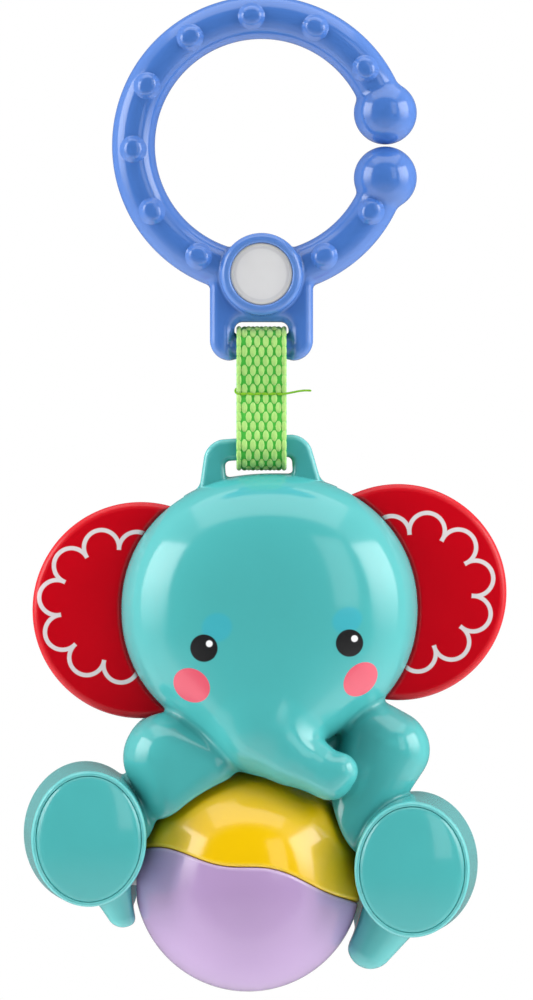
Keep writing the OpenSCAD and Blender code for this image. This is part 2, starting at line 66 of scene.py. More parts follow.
# Clip ring, hub and strap plate
RING_R, TUBE_R = 25.6, 4.3
END_BALL_R, CLIP_GAP = 6.3, 0.4
BUMP_R, BUMP_STEP, BUMPS_BEFORE, BUMPS_AFTER, BUMP_AROUND = 2.8, 29.25, 8, 2, 36
HUB_R, HUB_HALF, HUB_EDGE, HUB_Z = 8.2, 5.5, 1.4, -25.9
DISC_R, DISC_T, DISC_SUNK, DISC_EDGE = 6.1, 1.0, 0.6, 0.6
PLATE_HALF_W, PLATE_HALF_T, PLATE_CORNER, PLATE_EDGE = 10.3, 3.2, 4.0, 1.7
PLATE_BOTTOM, BAR_R, BAR_Z, BAR_LAP = -43.0, 2.5, -40.2, 1.0
SLOT_TOP, SLOT_HALF_W, SLOT_HALF_H, SLOT_CORNER, SLOT_EDGE = -35.3, 5.4, 6.0, 1.6, 0.8
END_JOIN, BAR_JOIN, PLATE_JOIN, HUB_JOIN = 0.7, 0.5, 0.8, 0.7

# Lead-in of the strap's slot: where it starts, how deep it goes, its slope, and the scale of its distance
LEAD_FROM, LEAD_DEPTH, LEAD_SLOPE, LEAD_TRUE = 1.6, 2.0, 0.95, 0.72

# A teething bump, from its top round to its underside: distance from its middle, and rise above the tube
BUMP_PROFILE = (
    (0, 1.3), (0.8, 1.29), (1.3, 1.25), (1.6, 1.16), (1.85, 1.0), (2.08, 0.76), (2.26, 0.5), (2.42, 0.28),
    (2.56, 0.13), (2.7, 0.02), (2.78, -0.12), (2.8, -0.4), (2.4, -0.9), (0, -0.9))

# Fronts of the hub disc and of a sole, from near the middle outwards: distance from the edge, and fall
DISC_FALL = ((4.2, 0.01), (1.6, 0.02), (0.6, 0.04), (0.25, 0.08), (0.08, 0.14), (0, 0.24))
SOLE_FALL = (
    (6.18, 0.02), (3.09, 0.1), (1.6, 0.18), (0.9, 0.24), (0.6, 0.28), (0.35, 0.33), (0.15, 0.39),
    (0.05, 0.44), (0, 0.49))

# Webbing loop
STRAP_W, STRAP_T, SEAM_Z, LOOP_BAR_Z = 10.0, 1.2, -49.7, -60.5
UPPER_WRAP, LOWER_WRAP, PINCH = 2.7, 3.14, 0.62
WRAP_STEPS, LOOP_STEPS, LOOP_SMOOTHINGS = 60, 360, 12
TAPE_T, TAPE_AROUND, TAPE_EDGE_CURVE, TAPE_FACE_CURVE = 1.0, 24, 0.25, 0.6
WEAVE_COLUMNS, WEAVE_PITCH, WEAVE_ROW, WEAVE_OVAL, WEAVE_SUNK = 7, 1.7, 2.0, (0.66, 1.28, 0.46), 0.12
SELVEDGE, SELVEDGE_NARROWED = 4.5, 0.2
STITCH_COUNT, STITCH_MARGIN, STITCH_HALF = 6, 0.6, 0.54
STITCH_TALL, STITCH_OUT, STITCH_LEAN = 1.25, 0.7, 0.2
THREAD_R, CUT_SHARE = 0.25, 0.85

# Loose ends of the thread: a waving tail at the right, and a small loop at the left
THREAD_TAIL, TAIL_RISE, TAIL_STEADY, TAIL_WAVING, TAIL_WAVE, TAIL_SWAY = 5.4, 10.0, 0.6, 0.4, 0.55, 0.1
END_LOOP_IN, END_LOOP_RX, END_LOOP_RZ, END_LOOP_BACK, END_LOOP_TURN = 0.5, 0.75, 0.6, 0.25, 1.7 * math.pi
TAIL_POINTS, END_LOOP_POINTS = 22, 26

# Elephant: centres as [x, y, z]
HEAD = np.array([1.6, 0.0, -92.7])
HEAD_RX, HEAD_RZ, HEAD_FRONT, REAR_SHARE = 29.7, 27.1, 19.5, 0.72
HEAD_SQUARE, DOME_SQUARE = 2.1, 2.5
PIVOT = np.array([1.6, 0.0, -91.1])
BALL = np.array([-2.7, 0.0, -146.4])
BALL_R, BALL_WALL, POCKET_R, BALL_FLAT = 22.7, 2.0, 23.7, 0.5
BALL_HUB_WALL, BALL_HUB_HALF = 2.1, 3.5
SEAM_WAVE, SEAM_GAP, SEAM_EDGE, BALL_TURN = 5.2, 0.03, 0.7, 9.5
WALL = 2.0
HEAD_TILT = 4.0
LOOP_X, LOOP_W, LOOP_FLARE, LOOP_BAR_H, LOOP_T = -0.8, 21.5, 3.4, 4.4, 4.2
LOOP_CORNER, LOOP_EDGE, LOOP_ROOT = 3.4, 1.0, -9.1
LOOP_SLOT_W, LOOP_SLOT_H, LOOP_SLOT_SUNK, LOOP_SLOT_CORNER = 13.4, 2.9, 0.8, 1.0
EAR_R, EAR_REACH, EAR_T, EAR_ROUND, EAR_GAP, EAR_TUCK, ROCK = 21.6, 25.8, 6.0, 1.5, 0.7, 0.6, 5.0
YOKE_T, YOKE_H, YOKE_HUB_R, YOKE_HUB_T, YOKE_EDGE, YOKE_LAP = 2.6, 16.0, 5.5, 7.0, 0.3, 2.0
PIVOT_R, PIVOT_LEN, AXLE_R, AXLE_SEAT, AXLE_BOSS, AXLE_BLOCK = 2.5, 16.0, 1.5, 3.2, 2.0, 1.2
FOOT = {-1: np.array([-35.21, 0.0, -137.32]), 1: np.array([30.92, 0.0, -143.33])}
FOOT_RX, FOOT_RZ, FOOT_FRONT, FOOT_EDGE, FOOT_INSIDE = 12.2, 14.2, 21.5, 1.2, 20.0
FOOT_DRAFT, FOOT_SHIFT, DRAFT_FROM, DRAFT_SHORT = 0.9, 1.4, 3.0, 4.0
FOOT_BACK, FOOT_BACK_OUTLINE, FOOT_BACK_SQUARE = 8.0, 2.0, 2.4
SOLE_RIM, SOLE_T, SOLE_SUNK, SOLE_EDGE, SOLE_SWELL = 1.1, 1.6, 0.04, 0.9, 1.9
HIP = {-1: np.array([-29.8, -2.0, -142.7]), 1: np.array([26.7, -2.0, -150.7])}
HEEL = {-1: np.array([-27.7, -1.0, -153.0]), 1: np.array([21.8, -1.0, -160.0])}
HIP_R, HEEL_R = 7.3, {-1: 3.3, 1: 4.6}
BAND_R, BAND_TUBE = 26.9, 5.4
CORNERS = ((14.4, 0, -118.6, 3.4), (-24.2, -1.5, -135.6, 3.8), (-24.2, -8, -135.4, 4.2))
LIP_R, LIP_TUBE, LIP_Y, LIP_ARCS = 24.8, 4.4, 5.0, ((146, 184), (-15, 10))

# Screws: SCREW_TRUE is the scale of the thread's distance
SCREW_AT = [HEAD + [-13.4, 0, 15.4], HEAD + [13.4, 0, 15.4], FOOT[-1], FOOT[1]]
SCREW_NAMES = ("Head Left", "Head Right", "Foot Left", "Foot Right")
SCREW_R, SCREW_HEAD_R, SCREW_HEAD_H, SCREW_LEN, SCREW_SEAT, BOSS_R = 1.3, 2.5, 1.8, 11.0, 3.4, 3.2
SCREW_HEAD_EDGE, SCREW_PITCH, SCREW_CORE, SCREW_CREST = 0.7, 1.0, 0.16, 0.14
SCREW_TIP, SCREW_TIP_SHARE, SCREW_LAP, SCREW_TRUE = 3.0, 0.35, 0.5, 0.8
RECESS_HALF_W, RECESS_HALF_LEN, RECESS_FLOOR, RECESS_EDGE = 0.36, 1.35, 0.8, 0.15

# Print of the face: the middle of each spot as [x, z], its radii and its turn
LIDS = (((-8.73, -95.9), (3.0, 2.8), 25), ((16.83, -94.5), (3.0, 2.5), 25))
CHEEKS = (((-13.74, -107.39), (3.8, 3.21), -35), ((19.54, -106.26), (3.84, 2.9), 46))
EYES = (((-11.29, -100.0), (2.71, 2.71), 0), ((17.32, -99.01), (2.71, 2.71), 0))
GLINTS = (((-10.23, -99.11), (0.65, 0.65), 0), ((18.3, -98.15), (0.65, 0.65), 0))

# Scalloped print of each ear: side, centre x and z, radii of cusps and lobes, angle of one cusp and of a lobe
SCALLOPS = ((-1, -29.03, -91.94, 11.47, 15.4, -9.5, 34.2), (1, 30.55, -89.17, 11.74, 15.95, -4.2, 33.1))

# Distances over which the scalloped line ends, off its middle and inside its cusps
SCALLOP_EDGE, SCALLOP_TRIM = (0.34, 0.5), (0.45, 0.25)

# Depths over which the print of the face and of the ears ends
FACE_PRINT_END, EAR_PRINT_END = (-9, -6), (-2.9, -2.6)

# Clearances: running on pins, seated pieces, seated pieces that are seen, and moving pieces beside a wall
RUN_FIT, SEAT_FIT, SNUG_FIT, CLEAR = 0.06, 0.12, 0.02, 0.4

# Soft joins of the mouldings, as the width over which two forms run together
TRUNK_JOIN, CURL_JOIN, ARM_JOIN, LEG_JOIN, FOOT_JOIN = 2.4, 1.2, 1.8, 1.6, 0.9
CORNER_JOIN, LIP_JOIN, LOOP_JOIN = 1.6, 3.0, 1.0

# Rounded edges of the cuts into the shells, as the width over which an edge turns
POCKET_EDGE, PARTING_EDGE, EAR_SLOT_EDGE = 1.3, 0.5, 0.5
LOOP_SEAT_EDGE, LOOP_SLOT_EDGE, SCREW_WELL_EDGE = 0.4, 1.2, 0.6

# Box of each moulding, as its low and high corner
RING_BOX = (-31, -7, -44), (34, 7, 31)
SCREW_BOX = (-2.8, -11.3, -2.8), (2.8, 2.2, 2.8)
FACE_BOX, BACK_BOX = ((-49, -23, -166), (45, 1, -58)), ((-49, -3, -166), (45, 16, -56))
EARS_BOX = (-47, -4, -116), (50, 4, -66)
BALL_REACH = BALL_R + 0.8
BALL_BOX = BALL - BALL_REACH, BALL + BALL_REACH

# Mesh steps of the mouldings, and the share of the triangles that is kept
FINE_STEP, SHELL_STEP, SCREW_STEP = 0.4, 0.42, 0.17
FINE_KEPT, SHELL_KEPT = 0.5, 0.4


def degrees(a):
    return a * math.pi / 180


def turned_y(p, angle):
    """Points turned about the Y axis, seen from the front, anticlockwise."""
    c, s = math.cos(degrees(angle)), math.sin(degrees(angle))
    return np.stack([p[..., 0] * c - p[..., 2] * s, p[..., 1], p[..., 0] * s + p[..., 2] * c], -1)


# Distance fields: each takes points and gives how far they lie outside a form


def length(v):
    return np.sqrt((v * v).sum(-1))


def join(a, b, k):
    """Both forms, run together over the width k."""
    h = np.maximum(k - np.abs(a - b), 0) / k
    return np.minimum(a, b) - h * h * k / 4


def cut(a, b, k):
    """The first form without the second, with an edge rounded over the width k."""
    return -join(-a, b, k)


def sphere(p, centre, r):
    return length(p - centre) - r


def round_cone(p, a, b, ra, rb):
    """The hull of two spheres."""
    ba = b - a
    l2 = ba @ ba
    rr = ra - rb
    a2 = l2 - rr * rr
    pa = p - a
    y = pa @ ba
    z = y - l2
    x2 = ((pa * l2 - y[:, None] * ba) ** 2).sum(1)
    y2, z2 = y * y * l2, z * z * l2
    k = np.sign(rr) * rr * rr * x2
    side = (np.sqrt(x2 * a2 / l2) + y * rr) / l2 - ra
    low = np.sqrt(x2 + y2) / l2 - ra
    high = np.sqrt(x2 + z2) / l2 - rb
    return np.where(np.sign(z) * a2 * z2 > k, high, np.where(np.sign(y) * a2 * y2 < k, low, side))


def three_lobes(p, lobes):
    """The hull of three spheres, each as [x, y, z, r]."""
    c = [np.array(q[:3], float) for q in lobes]
    r = [q[3] for q in lobes]
    d = np.minimum.reduce([round_cone(p, c[i], c[j], r[i], r[j]) for i, j in ((0, 1), (1, 2), (2, 0))])
    b, e = c[1] - c[0], c[2] - c[0]
    across = np.cross(b, e)
    across /= np.linalg.norm(across)
    for face in SIDES:
        lean = np.linalg.lstsq(np.stack([b, e, across]), [r[0] - r[1], r[0] - r[2], 0], rcond=None)[0]
        n = lean + face * across * math.sqrt(max(1 - lean @ lean, 0))
        u, v, s = np.linalg.solve(np.stack([b, e, n], 1), (p - c[0]).T)
        over = (u >= 0) & (v >= 0) & (u + v <= 1) & (s > 0)
        d = np.where(over, (p - c[0]) @ n - r[0], d)
    return d


def dome(p, centre, rx, ry, rz, outline, section):
    """A superellipsoid, as a distance that is right near its surface."""
    x, y, z = ((p - centre) / np.stack([rx, ry, rz], -1)).T
    ax, ay, az = (np.maximum(np.abs(v), 1e-4) for v in (x, y, z))
    flat = ax ** outline + az ** outline
    total = flat ** (section / outline) + ay ** section
    f = total ** (1 / section)
    slope = total ** (1 / section - 1)
    inner = slope * flat ** (section / outline - 1)
    gx = inner * ax ** (outline - 1) / rx
    gz = inner * az ** (outline - 1) / rz
    gy = slope * ay ** (section - 1) / ry
    return (f - 1) / np.sqrt(gx * gx + gy * gy + gz * gz)


def oval(p, centre, rx, rz):
    """An ellipse in X and Z, through the whole depth."""
    x, z = (p[:, 0] - centre[..., 0]) / rx, (p[:, 2] - centre[..., 2]) / rz
    f = np.maximum(np.hypot(x, z), 1e-6)
    return (f - 1) * f / np.maximum(np.hypot(x / rx, z / rz), 1e-9)


def box2(u, v, half_u, half_v, r):
    """A rectangle with round corners, through the whole depth."""
    return rounded_corner(np.abs(u) - half_u + r, np.abs(v) - half_v + r) - r


def rounded_corner(a, b):
    """The corner between two sides, as a distance that stays round outside it."""
    return np.minimum(np.maximum(a, b), 0) + np.hypot(np.maximum(a, 0), np.maximum(b, 0))


def slab(flat, y, low, high, edge):
    """A flat form between two depths, with edges rounded to the given radius."""
    across = np.abs(y - (low + high) / 2) - (high - low) / 2
    return rounded_corner(flat + edge, across + edge) - edge


def along_y(p, centre, r):
    return np.hypot(p[:, 0] - centre[0], p[:, 2] - centre[2]) - r


def along_x(p, centre, r):
    return np.hypot(p[:, 1] - centre[1], p[:, 2] - centre[2]) - r


def trapezium(u, v, top, bottom, half_top, half_bottom):
    """A symmetric trapezium in u and v."""
    lean = math.atan2(half_bottom - half_top, top - bottom)
    side = (np.abs(u) - half_top) * math.cos(lean) + (v - top) * math.sin(lean)
    return np.maximum(rounded_corner(side, v - top), bottom - v)


# Mesh of a field

AT_ONCE = 200000


def grid(counts):
    """Every whole-numbered place in a grid of these counts."""
    return np.stack(np.meshgrid(*[np.arange(n) for n in counts], indexing="ij"), -1)


def skin(field, box, step, block=6, margin=1.05):
    """Points and quads of a field's surface: one point in each cell that it crosses, drawn onto it.

    Blocks of cells whose middle lies further off than the margin are left out.
    """
    low, high = (np.array(corner, float) for corner in box)
    blocks = np.ceil((high - low) / step / block).astype(int)
    size = blocks * block + 1
    mid = (grid(blocks) + 0.5) * block * step + low
    rough = field(mid.reshape(-1, 3)).reshape(blocks)
    near = np.abs(rough) < block * step * margin
    value = np.ones(size)
    inner = np.sign(rough)
    for axis in range(3):
        inner = np.repeat(inner, block, axis)
    value[:-1, :-1, :-1] = inner
    wanted = np.zeros(size, bool)
    hit = np.argwhere(near) * block
    reach = grid([block + 1] * 3).reshape(-1, 3)
    at = (hit[:, None, :] + reach[None]).reshape(-1, 3)
    wanted[tuple(at.T)] = True
    at = np.argwhere(wanted)
    parts = np.array_split(at, len(at) // AT_ONCE + 1)
    value[wanted] = np.concatenate([field(part * step + low) for part in parts])

    inside = value < 0
    corner = grid([2] * 3).reshape(-1, 3)
    cells = size - 1
    count = sum(inside[tuple(slice(c, n + c) for c, n in zip(move, cells))].astype(int) for move in corner)
    cell = np.argwhere((count > 0) & (count < 8))
    held = np.stack([value[tuple((cell + c).T)] for c in corner], 1)
    total, hits = np.zeros((len(cell), 3)), np.zeros(len(cell))
    for a in range(8):
        for b in range(a + 1, 8):
            if np.abs(corner[a] - corner[b]).sum() == 1:
                crossed = (held[:, a] < 0) != (held[:, b] < 0)
                t = np.where(crossed, held[:, a] / np.where(crossed, held[:, a] - held[:, b], 1), 0)
                total += np.where(crossed[:, None], corner[a] + t[:, None] * (corner[b] - corner[a]), 0)
                hits += crossed
    points = (cell + total / hits[:, None]) * step + low
    number = np.full(cells, -1)
    number[tuple(cell.T)] = np.arange(len(cell))
    quads = []
    for axis in range(3):
        u, v = (axis + 1) % 3, (axis + 2) % 3
        a = np.argwhere(np.diff(inside.astype(np.int8), axis=axis) != 0)
        a = a[(a[:, u] > 0) & (a[:, v] > 0) & (a[:, u] < size[u] - 1) & (a[:, v] < size[v] - 1)]
        du, dv = np.eye(3, dtype=int)[u], np.eye(3, dtype=int)[v]
        ring = np.stack([number[tuple(q.T)] for q in (a - du - dv, a - dv, a, a - du)], 1)
        flip = ~inside[tuple(a.T)]
        ring[flip] = ring[flip, ::-1]
        quads.append(ring)
    quads = np.concatenate(quads)
    points = drawn(field, relaxed(points, quads), step)
    return drawn(field, points, step), quads


def slope(field, p, h=0.01):
    """The direction in which a field grows, and how fast."""
    return np.stack([field(p + h * e) - field(p - h * e) for e in np.eye(3)], -1) / (2 * h)


def drawn(field, p, step, h=0.02, least=0.05, farthest=0.7):
    """Points drawn onto the field's surface, by this share of a step at most."""
    d = field(p)
    g = np.stack([field(p + h * e) - d for e in np.eye(3)], -1) / h
    move = d[:, None] * g / np.maximum((g * g).sum(1, keepdims=True), least)
    far = np.maximum(length(move)[:, None] / (farthest * step), 1)
    return p - move / far


def relaxed(p, quads, share=0.5):
    """Points moved a share of the way to the middle of their neighbours."""
    total, n = np.zeros_like(p), np.zeros(len(p))
    for k in range(4):
        a, b = quads[:, k], quads[:, (k + 1) % 4]
        np.add.at(total, a, p[b])
        np.add.at(n, a, 1)
    return p + share * (total / np.maximum(n, 1)[:, None] - p)


# Pieces


def bend(field, p, h=0.3):
    """How sharply a surface turns: above 0 on an edge, below 0 in a crease, in 1 / mm."""
    return (sum(field(p + h * e) + field(p - h * e) for e in np.eye(3)) - 6 * field(p)) / (h * h)


def thinned(points, faces, share):
    """A mesh with this share of its triangles, fewest where it is flat."""
    mesh = bpy.data.meshes.new("dense")
    mesh.from_pydata(points.tolist(), [], faces.tolist())
    dense = bpy.data.objects.new("dense", mesh)
    bpy.context.scene.collection.objects.link(dense)
    dense.modifiers.new("thin", "DECIMATE").ratio = share
    less = bpy.data.meshes.new_from_object(dense.evaluated_get(bpy.context.evaluated_depsgraph_get()))
    kept = np.empty(len(less.vertices) * 3)
    less.vertices.foreach_get("co", kept)
    corners = [tuple(f.vertices) for f in less.polygons]
    bpy.data.objects.remove(dense)
    bpy.data.meshes.remove(mesh)
    bpy.data.meshes.remove(less)
    return kept.reshape(-1, 3), corners


def outward(points, faces):
    """The faces, turned round if they point into the form."""
    p = np.asarray(points)
    volume = sum(p[f[0]] @ np.cross(p[f[k]], p[f[k + 1]]) for f in faces for k in range(1, len(f) - 1))
    return faces if volume > 0 else [tuple(reversed(f)) for f in faces]


def piece(name, points, faces, finish, body, replaced=(), normals=None, bends=None):
    """A mesh piece in the part's frame, from points in millimetres, that rides on a body."""
    mesh = bpy.data.meshes.new(name)
    mesh.from_pydata((np.asarray(points) * MM).tolist(), [], [list(map(int, f)) for f in faces])
    mesh.update()
    if bends is not None:
        mesh.attributes.new("bend", "FLOAT", "POINT").data.foreach_set("value", bends)
    mesh.materials.append(finish)
    return placed(name, mesh, body, replaced, normals)


def placed(name, mesh, body, replaced=(), normals=None):
    """A piece from a finished mesh, that rides on a body and stands for the replaced nodes."""
    mesh.shade_smooth()
    if normals is not None:
        mesh.normals_split_custom_set_from_vertices(normals.tolist())
    made = bpy.data.objects.new(name, mesh)
    bpy.context.scene.collection.objects.link(made)
    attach(made, body)
    if replaced:
        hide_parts(*replaced)
    return made


def moulded(name, field, box, step, share, finish, body, replaced):
    """A piece from a distance field, with the field's own normals."""
    points, faces = skin(field, box, step)
    points, faces = thinned(points, faces, share)
    g = slope(field, points)
    normals = g / np.maximum(length(g)[:, None], 1e-9)
    return piece(name, points, faces, finish, body, replaced, normals, bend(field, points))


def ring_strip(a, b, n):
    """Quads between two rings of n points each, which start at the points a and b."""
    return [(a + k, a + (k + 1) % n, b + (k + 1) % n, b + k) for k in range(n)]


def oval_lathe(profile, centre, rx, rz, around=96):
    """A closed oval disc from its front pole to its back pole: each step of the profile is [inset, y]."""
    turn = np.linspace(0, 2 * math.pi, around, endpoint=False)
    points, faces = [[centre[0], profile[0][1], centre[2]]], []
    for inset, y in profile[1:-1]:
        a, b = rx - inset, rz - inset
        points += [[centre[0] + a * math.cos(t), y, centre[2] + b * math.sin(t)] for t in turn]
    points.append([centre[0], profile[-1][1], centre[2]])
    last = len(points) - 1
    faces += [(0, 1 + (k + 1) % around, 1 + k) for k in range(around)]
    for k in range(len(profile) - 3):
        faces += ring_strip(1 + k * around, 1 + (k + 1) * around, around)
    faces += [(last, last - around + k, last - around + (k + 1) % around) for k in range(around)]
    return points, outward(points, faces)


def cap(r, front, back, falls):
    """Profile of a disc for oval_lathe: from the middle of its falling front to that of its flat back."""
    return [[r, front]] + [[inset, front + fall] for inset, fall in falls] + [[0, back], [r, back]]


def tube(path, r, around=10, tip=0.7):
    """A round thread along a path, with ends that narrow to this share."""
    path = np.array(path, float)
    along = np.gradient(path, axis=0)
    along /= length(along)[:, None]
    side = np.cross(along, [0.3, 1.0, 0.2])
    side /= length(side)[:, None]
    up = np.cross(along, side)
    turn = np.linspace(0, 2 * math.pi, around, endpoint=False)
    steps = [(0, -tip, tip)] + [(k, 0, 1) for k in range(len(path))] + [(len(path) - 1, tip, tip)]
    points, faces = [], []
    for k, lift, share in steps:
        for t in turn:
            out = math.cos(t) * side[k] + math.sin(t) * up[k]
            points.append(path[k] + r * (lift * along[k] + share * out))
    for k in range(len(steps) - 1):
        faces += ring_strip(k * around, (k + 1) * around, around)
    faces += [tuple(range(around)), tuple(range(len(points) - 1, len(points) - 1 - around, -1))]
    return points, outward(points, faces)


# Nodes


class Wire:
    """One socket of a node tree. Arithmetic on it adds Math nodes."""

    def __init__(self, tree, socket=None):
        self.tree, self.socket = tree, socket

    def node(self, kind, settings=(), inputs=(), output=0):
        """Another node: its type, settings, values or links of its sockets, and the output to go on from."""
        made = self.tree.nodes.new(kind)
        for name, value in dict(settings).items():
            setattr(made, name, value)
        for key, value in dict(inputs).items():
            for each in value if isinstance(value, list) else [value]:
                if isinstance(each, Wire):
                    self.tree.links.new(each.socket, made.inputs[key])
                else:
                    made.inputs[key].default_value = each
        return Wire(self.tree, made.outputs[output])

    def other(self, output):
        return Wire(self.tree, self.socket.node.outputs[output])

    def math(self, operation, *terms):
        return self.node("ShaderNodeMath", {"operation": operation}, dict(enumerate(terms)))

    def __add__(self, term):
        return self.math("ADD", self, term)

    def __radd__(self, term):
        return self.math("ADD", term, self)

    def __sub__(self, term):
        return self.math("SUBTRACT", self, term)

    def __rsub__(self, term):
        return self.math("SUBTRACT", term, self)

    def __mul__(self, term):
        return self.math("MULTIPLY", self, term)

    def __rmul__(self, term):
        return self.math("MULTIPLY", term, self)

    def __truediv__(self, term):
        return self.math("DIVIDE", self, term)

    def __pow__(self, term):
        return self.math("POWER", self, term)

    def __abs__(self):
        return self.math("ABSOLUTE", self)

    def __gt__(self, term):
        return self.math("GREATER_THAN", self, term)

    def rise(self, low, high):
        """0 below low, 1 above high, and smooth between."""
        limits = {"Value": self, "From Min": low, "From Max": high}
        return self.node("ShaderNodeMapRange", {"interpolation_type": "SMOOTHSTEP"}, limits)

    def mix(self, a, b):
        """A colour: a where this is 0, b where it is 1."""
        return self.node("ShaderNodeMix", {"data_type": "RGBA"}, {0: self, 6: a, 7: b}, 2)

    def vector(self, operation, *terms):
        return self.node("ShaderNodeVectorMath", {"operation": operation}, dict(enumerate(terms)))

    def point(self, x, y, z):
        return self.node("ShaderNodeCombineXYZ", (), {0: x, 1: y, 2: z})


def paint(r, g, b):
    """A colour as it is seen, from 0 to 255, for a shader."""
    linear = [v / 255 / 12.92 if v < 10.3 else ((v / 255 + 0.055) / 1.055) ** 2.4 for v in (r, g, b)]
    return (*linear, 1.0)


def shade(colour, k):
    return (*(min(v * k, 1.0) for v in colour[:3]), 1.0)


class Finish:
    """A material: its shader, and where each point lies, in millimetres."""

    def __init__(self, name, **constants):
        self.material = bpy.data.materials.new(name)
        self.material.use_nodes = True
        self.tree = self.material.node_tree
        self.shader = self.tree.nodes["Principled BSDF"]
        for key, value in constants.items():
            self.shader.inputs[key.replace("_", " ")].default_value = value
        place = Wire(self.tree).node("ShaderNodeTexCoord", output="Object")
        self.at = place.node("ShaderNodeVectorMath", {"operation": "SCALE"}, {0: place, "Scale": 1 / MM})
        self.x = self.at.node("ShaderNodeSeparateXYZ", (), {0: self.at})
        self.y, self.z = self.x.other(1), self.x.other(2)

    def noise(self, size, detail=2.0, stretch=(1, 1, 1)):
        """Noise in lumps of this size, in millimetres."""
        place = self.at.vector("MULTIPLY", self.at, stretch)
        return self.at.node("ShaderNodeTexNoise", (), {"Vector": place, "Scale": 1 / size, "Detail": detail})

    def attribute(self, name):
        return self.at.node("ShaderNodeAttribute", {"attribute_name": name}, (), "Fac")

    def far(self, x, z):
        """How far a point lies from [x, z], seen from the front."""
        u, v = self.x - x, self.z - z
        return (u * u + v * v) ** 0.5

    def spot(self, centre, radii, turn=0.0, soft=0.12):
        """A printed oval, seen from the front: 1 inside it."""
        c, s = math.cos(degrees(turn)), math.sin(degrees(turn))
        u, v = self.x - centre[0], self.z - centre[1]
        across, up = (u * c + v * s) / radii[0], (v * c - u * s) / radii[1]
        edge = soft / radii[0]
        return 1 - ((across * across + up * up) ** 0.5).rise(1 - edge, 1 + edge)

    def set(self, **wires):
        for key, wire in wires.items():
            self.tree.links.new(wire.socket, self.shader.inputs[key.replace("_", " ")])

    def bump(self, height, depth):
        """Relief of the given depth in millimetres."""
        self.set(Normal=height.node("ShaderNodeBump", (), {"Height": height, "Distance": depth * MM}))


# Finishes

LID_BLUE, CHEEK_PINK = paint(52, 172, 198), paint(222, 84, 105)
EYE_BLACK, GLINT_WHITE, SCALLOP_WHITE = paint(32, 32, 33), paint(250, 250, 250), paint(226, 216, 218)
LID_SOFT, LID_SHARE = 0.45, 0.48

# Turn of an edge that is worn and lightened with a painted highlight, and of a crease that is darkened with
# painted shade, in 1 / mm, and depth of the plastic's grain
WORN_LIT_EDGE_TURN, CREASE_TURN, GRAIN = (0.3, 1.1), (0.05, 0.8), 0.002

# Specks in the plastic: how far apart, the distances over which one ends, and the noise above which they show
SPECK_APART, SPECK_END, SPECK_SHOWN = 9, (0.018, 0.03), 0.52

# Radii on the hub disc over which a faint line starts and ends, and over which its cream rim starts
DISC_LINE_START, DISC_LINE_END, DISC_RIM = (4.9, 5.15), (5.35, 5.55), (5.6, 5.8)


def plastic(name, colour, pale, rough, printed=None, gloss=0.95, swell=None):
    """Glossy moulded plastic: drifting pigment, fine grain, worn edges with a painted highlight, painted
    shade in creases and faint scuffs.
    """
    f = Finish(name, IOR=1.5, Specular_IOR_Level=gloss)
    drift, fine = f.noise(24), f.noise(0.4, 3)
    turn = f.attribute("bend")
    # Edges that turn outwards: partly wear, partly a painted highlight; creases: painted shade
    worn_lit_edge = turn.rise(*WORN_LIT_EDGE_TURN) * (0.3 + 0.5 * f.noise(2.5))
    crease = (0 - turn).rise(*CREASE_TURN)
    cell = f.at.node("ShaderNodeTexVoronoi", (), {"Vector": f.at, "Scale": 1 / SPECK_APART})
    speck = (1 - cell.rise(*SPECK_END)) * (f.noise(15) > SPECK_SHOWN)
    scuff = f.noise(1.6, 2, (0.3, 1, 1)).rise(0.6, 0.75)
    base = drift.mix(shade(colour, 0.95), shade(colour, 1.06))
    # Edges lightened towards the pale colour, as wear and a painted highlight; creases darkened, as painted
    # shade
    base = (worn_lit_edge * 0.5).mix(base, pale)
    base = (crease * 0.3).mix(base, shade(colour, 0.55))
    base = (speck * 0.6).mix(base, shade(colour, 0.4))
    if printed:
        base = printed(f, base)
    f.set(Base_Color=base, Roughness=rough + 0.06 * (drift - 0.5) + 0.03 * scuff + 0.06 * worn_lit_edge)
    relief = fine * 0.1 + f.noise(4)
    f.bump(relief + swell(f) / GRAIN if swell else relief, GRAIN)
    return f.material


def sole_swell(f):
    """The gentle swell of both soles, in millimetres, for their sheen alone."""
    rx, rz = sole_radii()
    rises = []
    for side in SIDES:
        u, v = (f.x - FOOT[side][0] + side * FOOT_SHIFT) / rx, (f.z - FOOT[side][2]) / rz
        rises.append((1 - u * u - v * v) * (f.x * side > 0))
    return (rises[0] + rises[1]) * SOLE_SWELL


def face_print(f, base):
    """Eyes, cheeks and lids, printed on the front of the face."""
    front = 1 - f.y.rise(*FACE_PRINT_END)
    for lid in LIDS:
        base = (f.spot(*lid, LID_SOFT) * front * LID_SHARE).mix(base, LID_BLUE)
    for spots, colour in ((CHEEKS, CHEEK_PINK), (EYES, EYE_BLACK), (GLINTS, GLINT_WHITE)):
        for spot in spots:
            base = (f.spot(*spot) * front).mix(base, colour)
    return base


def scallop_print(f, base):
    """A white line of lobes about the middle of each ear, printed on its front."""
    front = 1 - f.y.rise(*EAR_PRINT_END)
    for side, x, z, cusp_r, outer_r, first, step in SCALLOPS:
        u, v = (f.x - x) * side, f.z - z
        r = (u * u + v * v) ** 0.5
        part = (u.math("ARCTAN2", v, u) - degrees(first)) / degrees(step)
        turn = (part.math("FRACT", part) - 0.5) * degrees(step)
        cusp = cusp_r * math.cos(degrees(step / 2))
        middle = (outer_r ** 2 - cusp_r ** 2) / (2 * (outer_r - cusp))
        ahead, aside = r * turn.math("COSINE", turn), r * turn.math("SINE", turn)
        past = ahead - middle
        off = abs((past * past + aside * aside) ** 0.5 - (outer_r - middle))
        line = (1 - off.rise(*SCALLOP_EDGE)) * r.rise(*[cusp_r - inside for inside in SCALLOP_TRIM])
        here = line * (f.x * side > 0) * front
        base = here.mix(base, SCALLOP_WHITE)
    return base


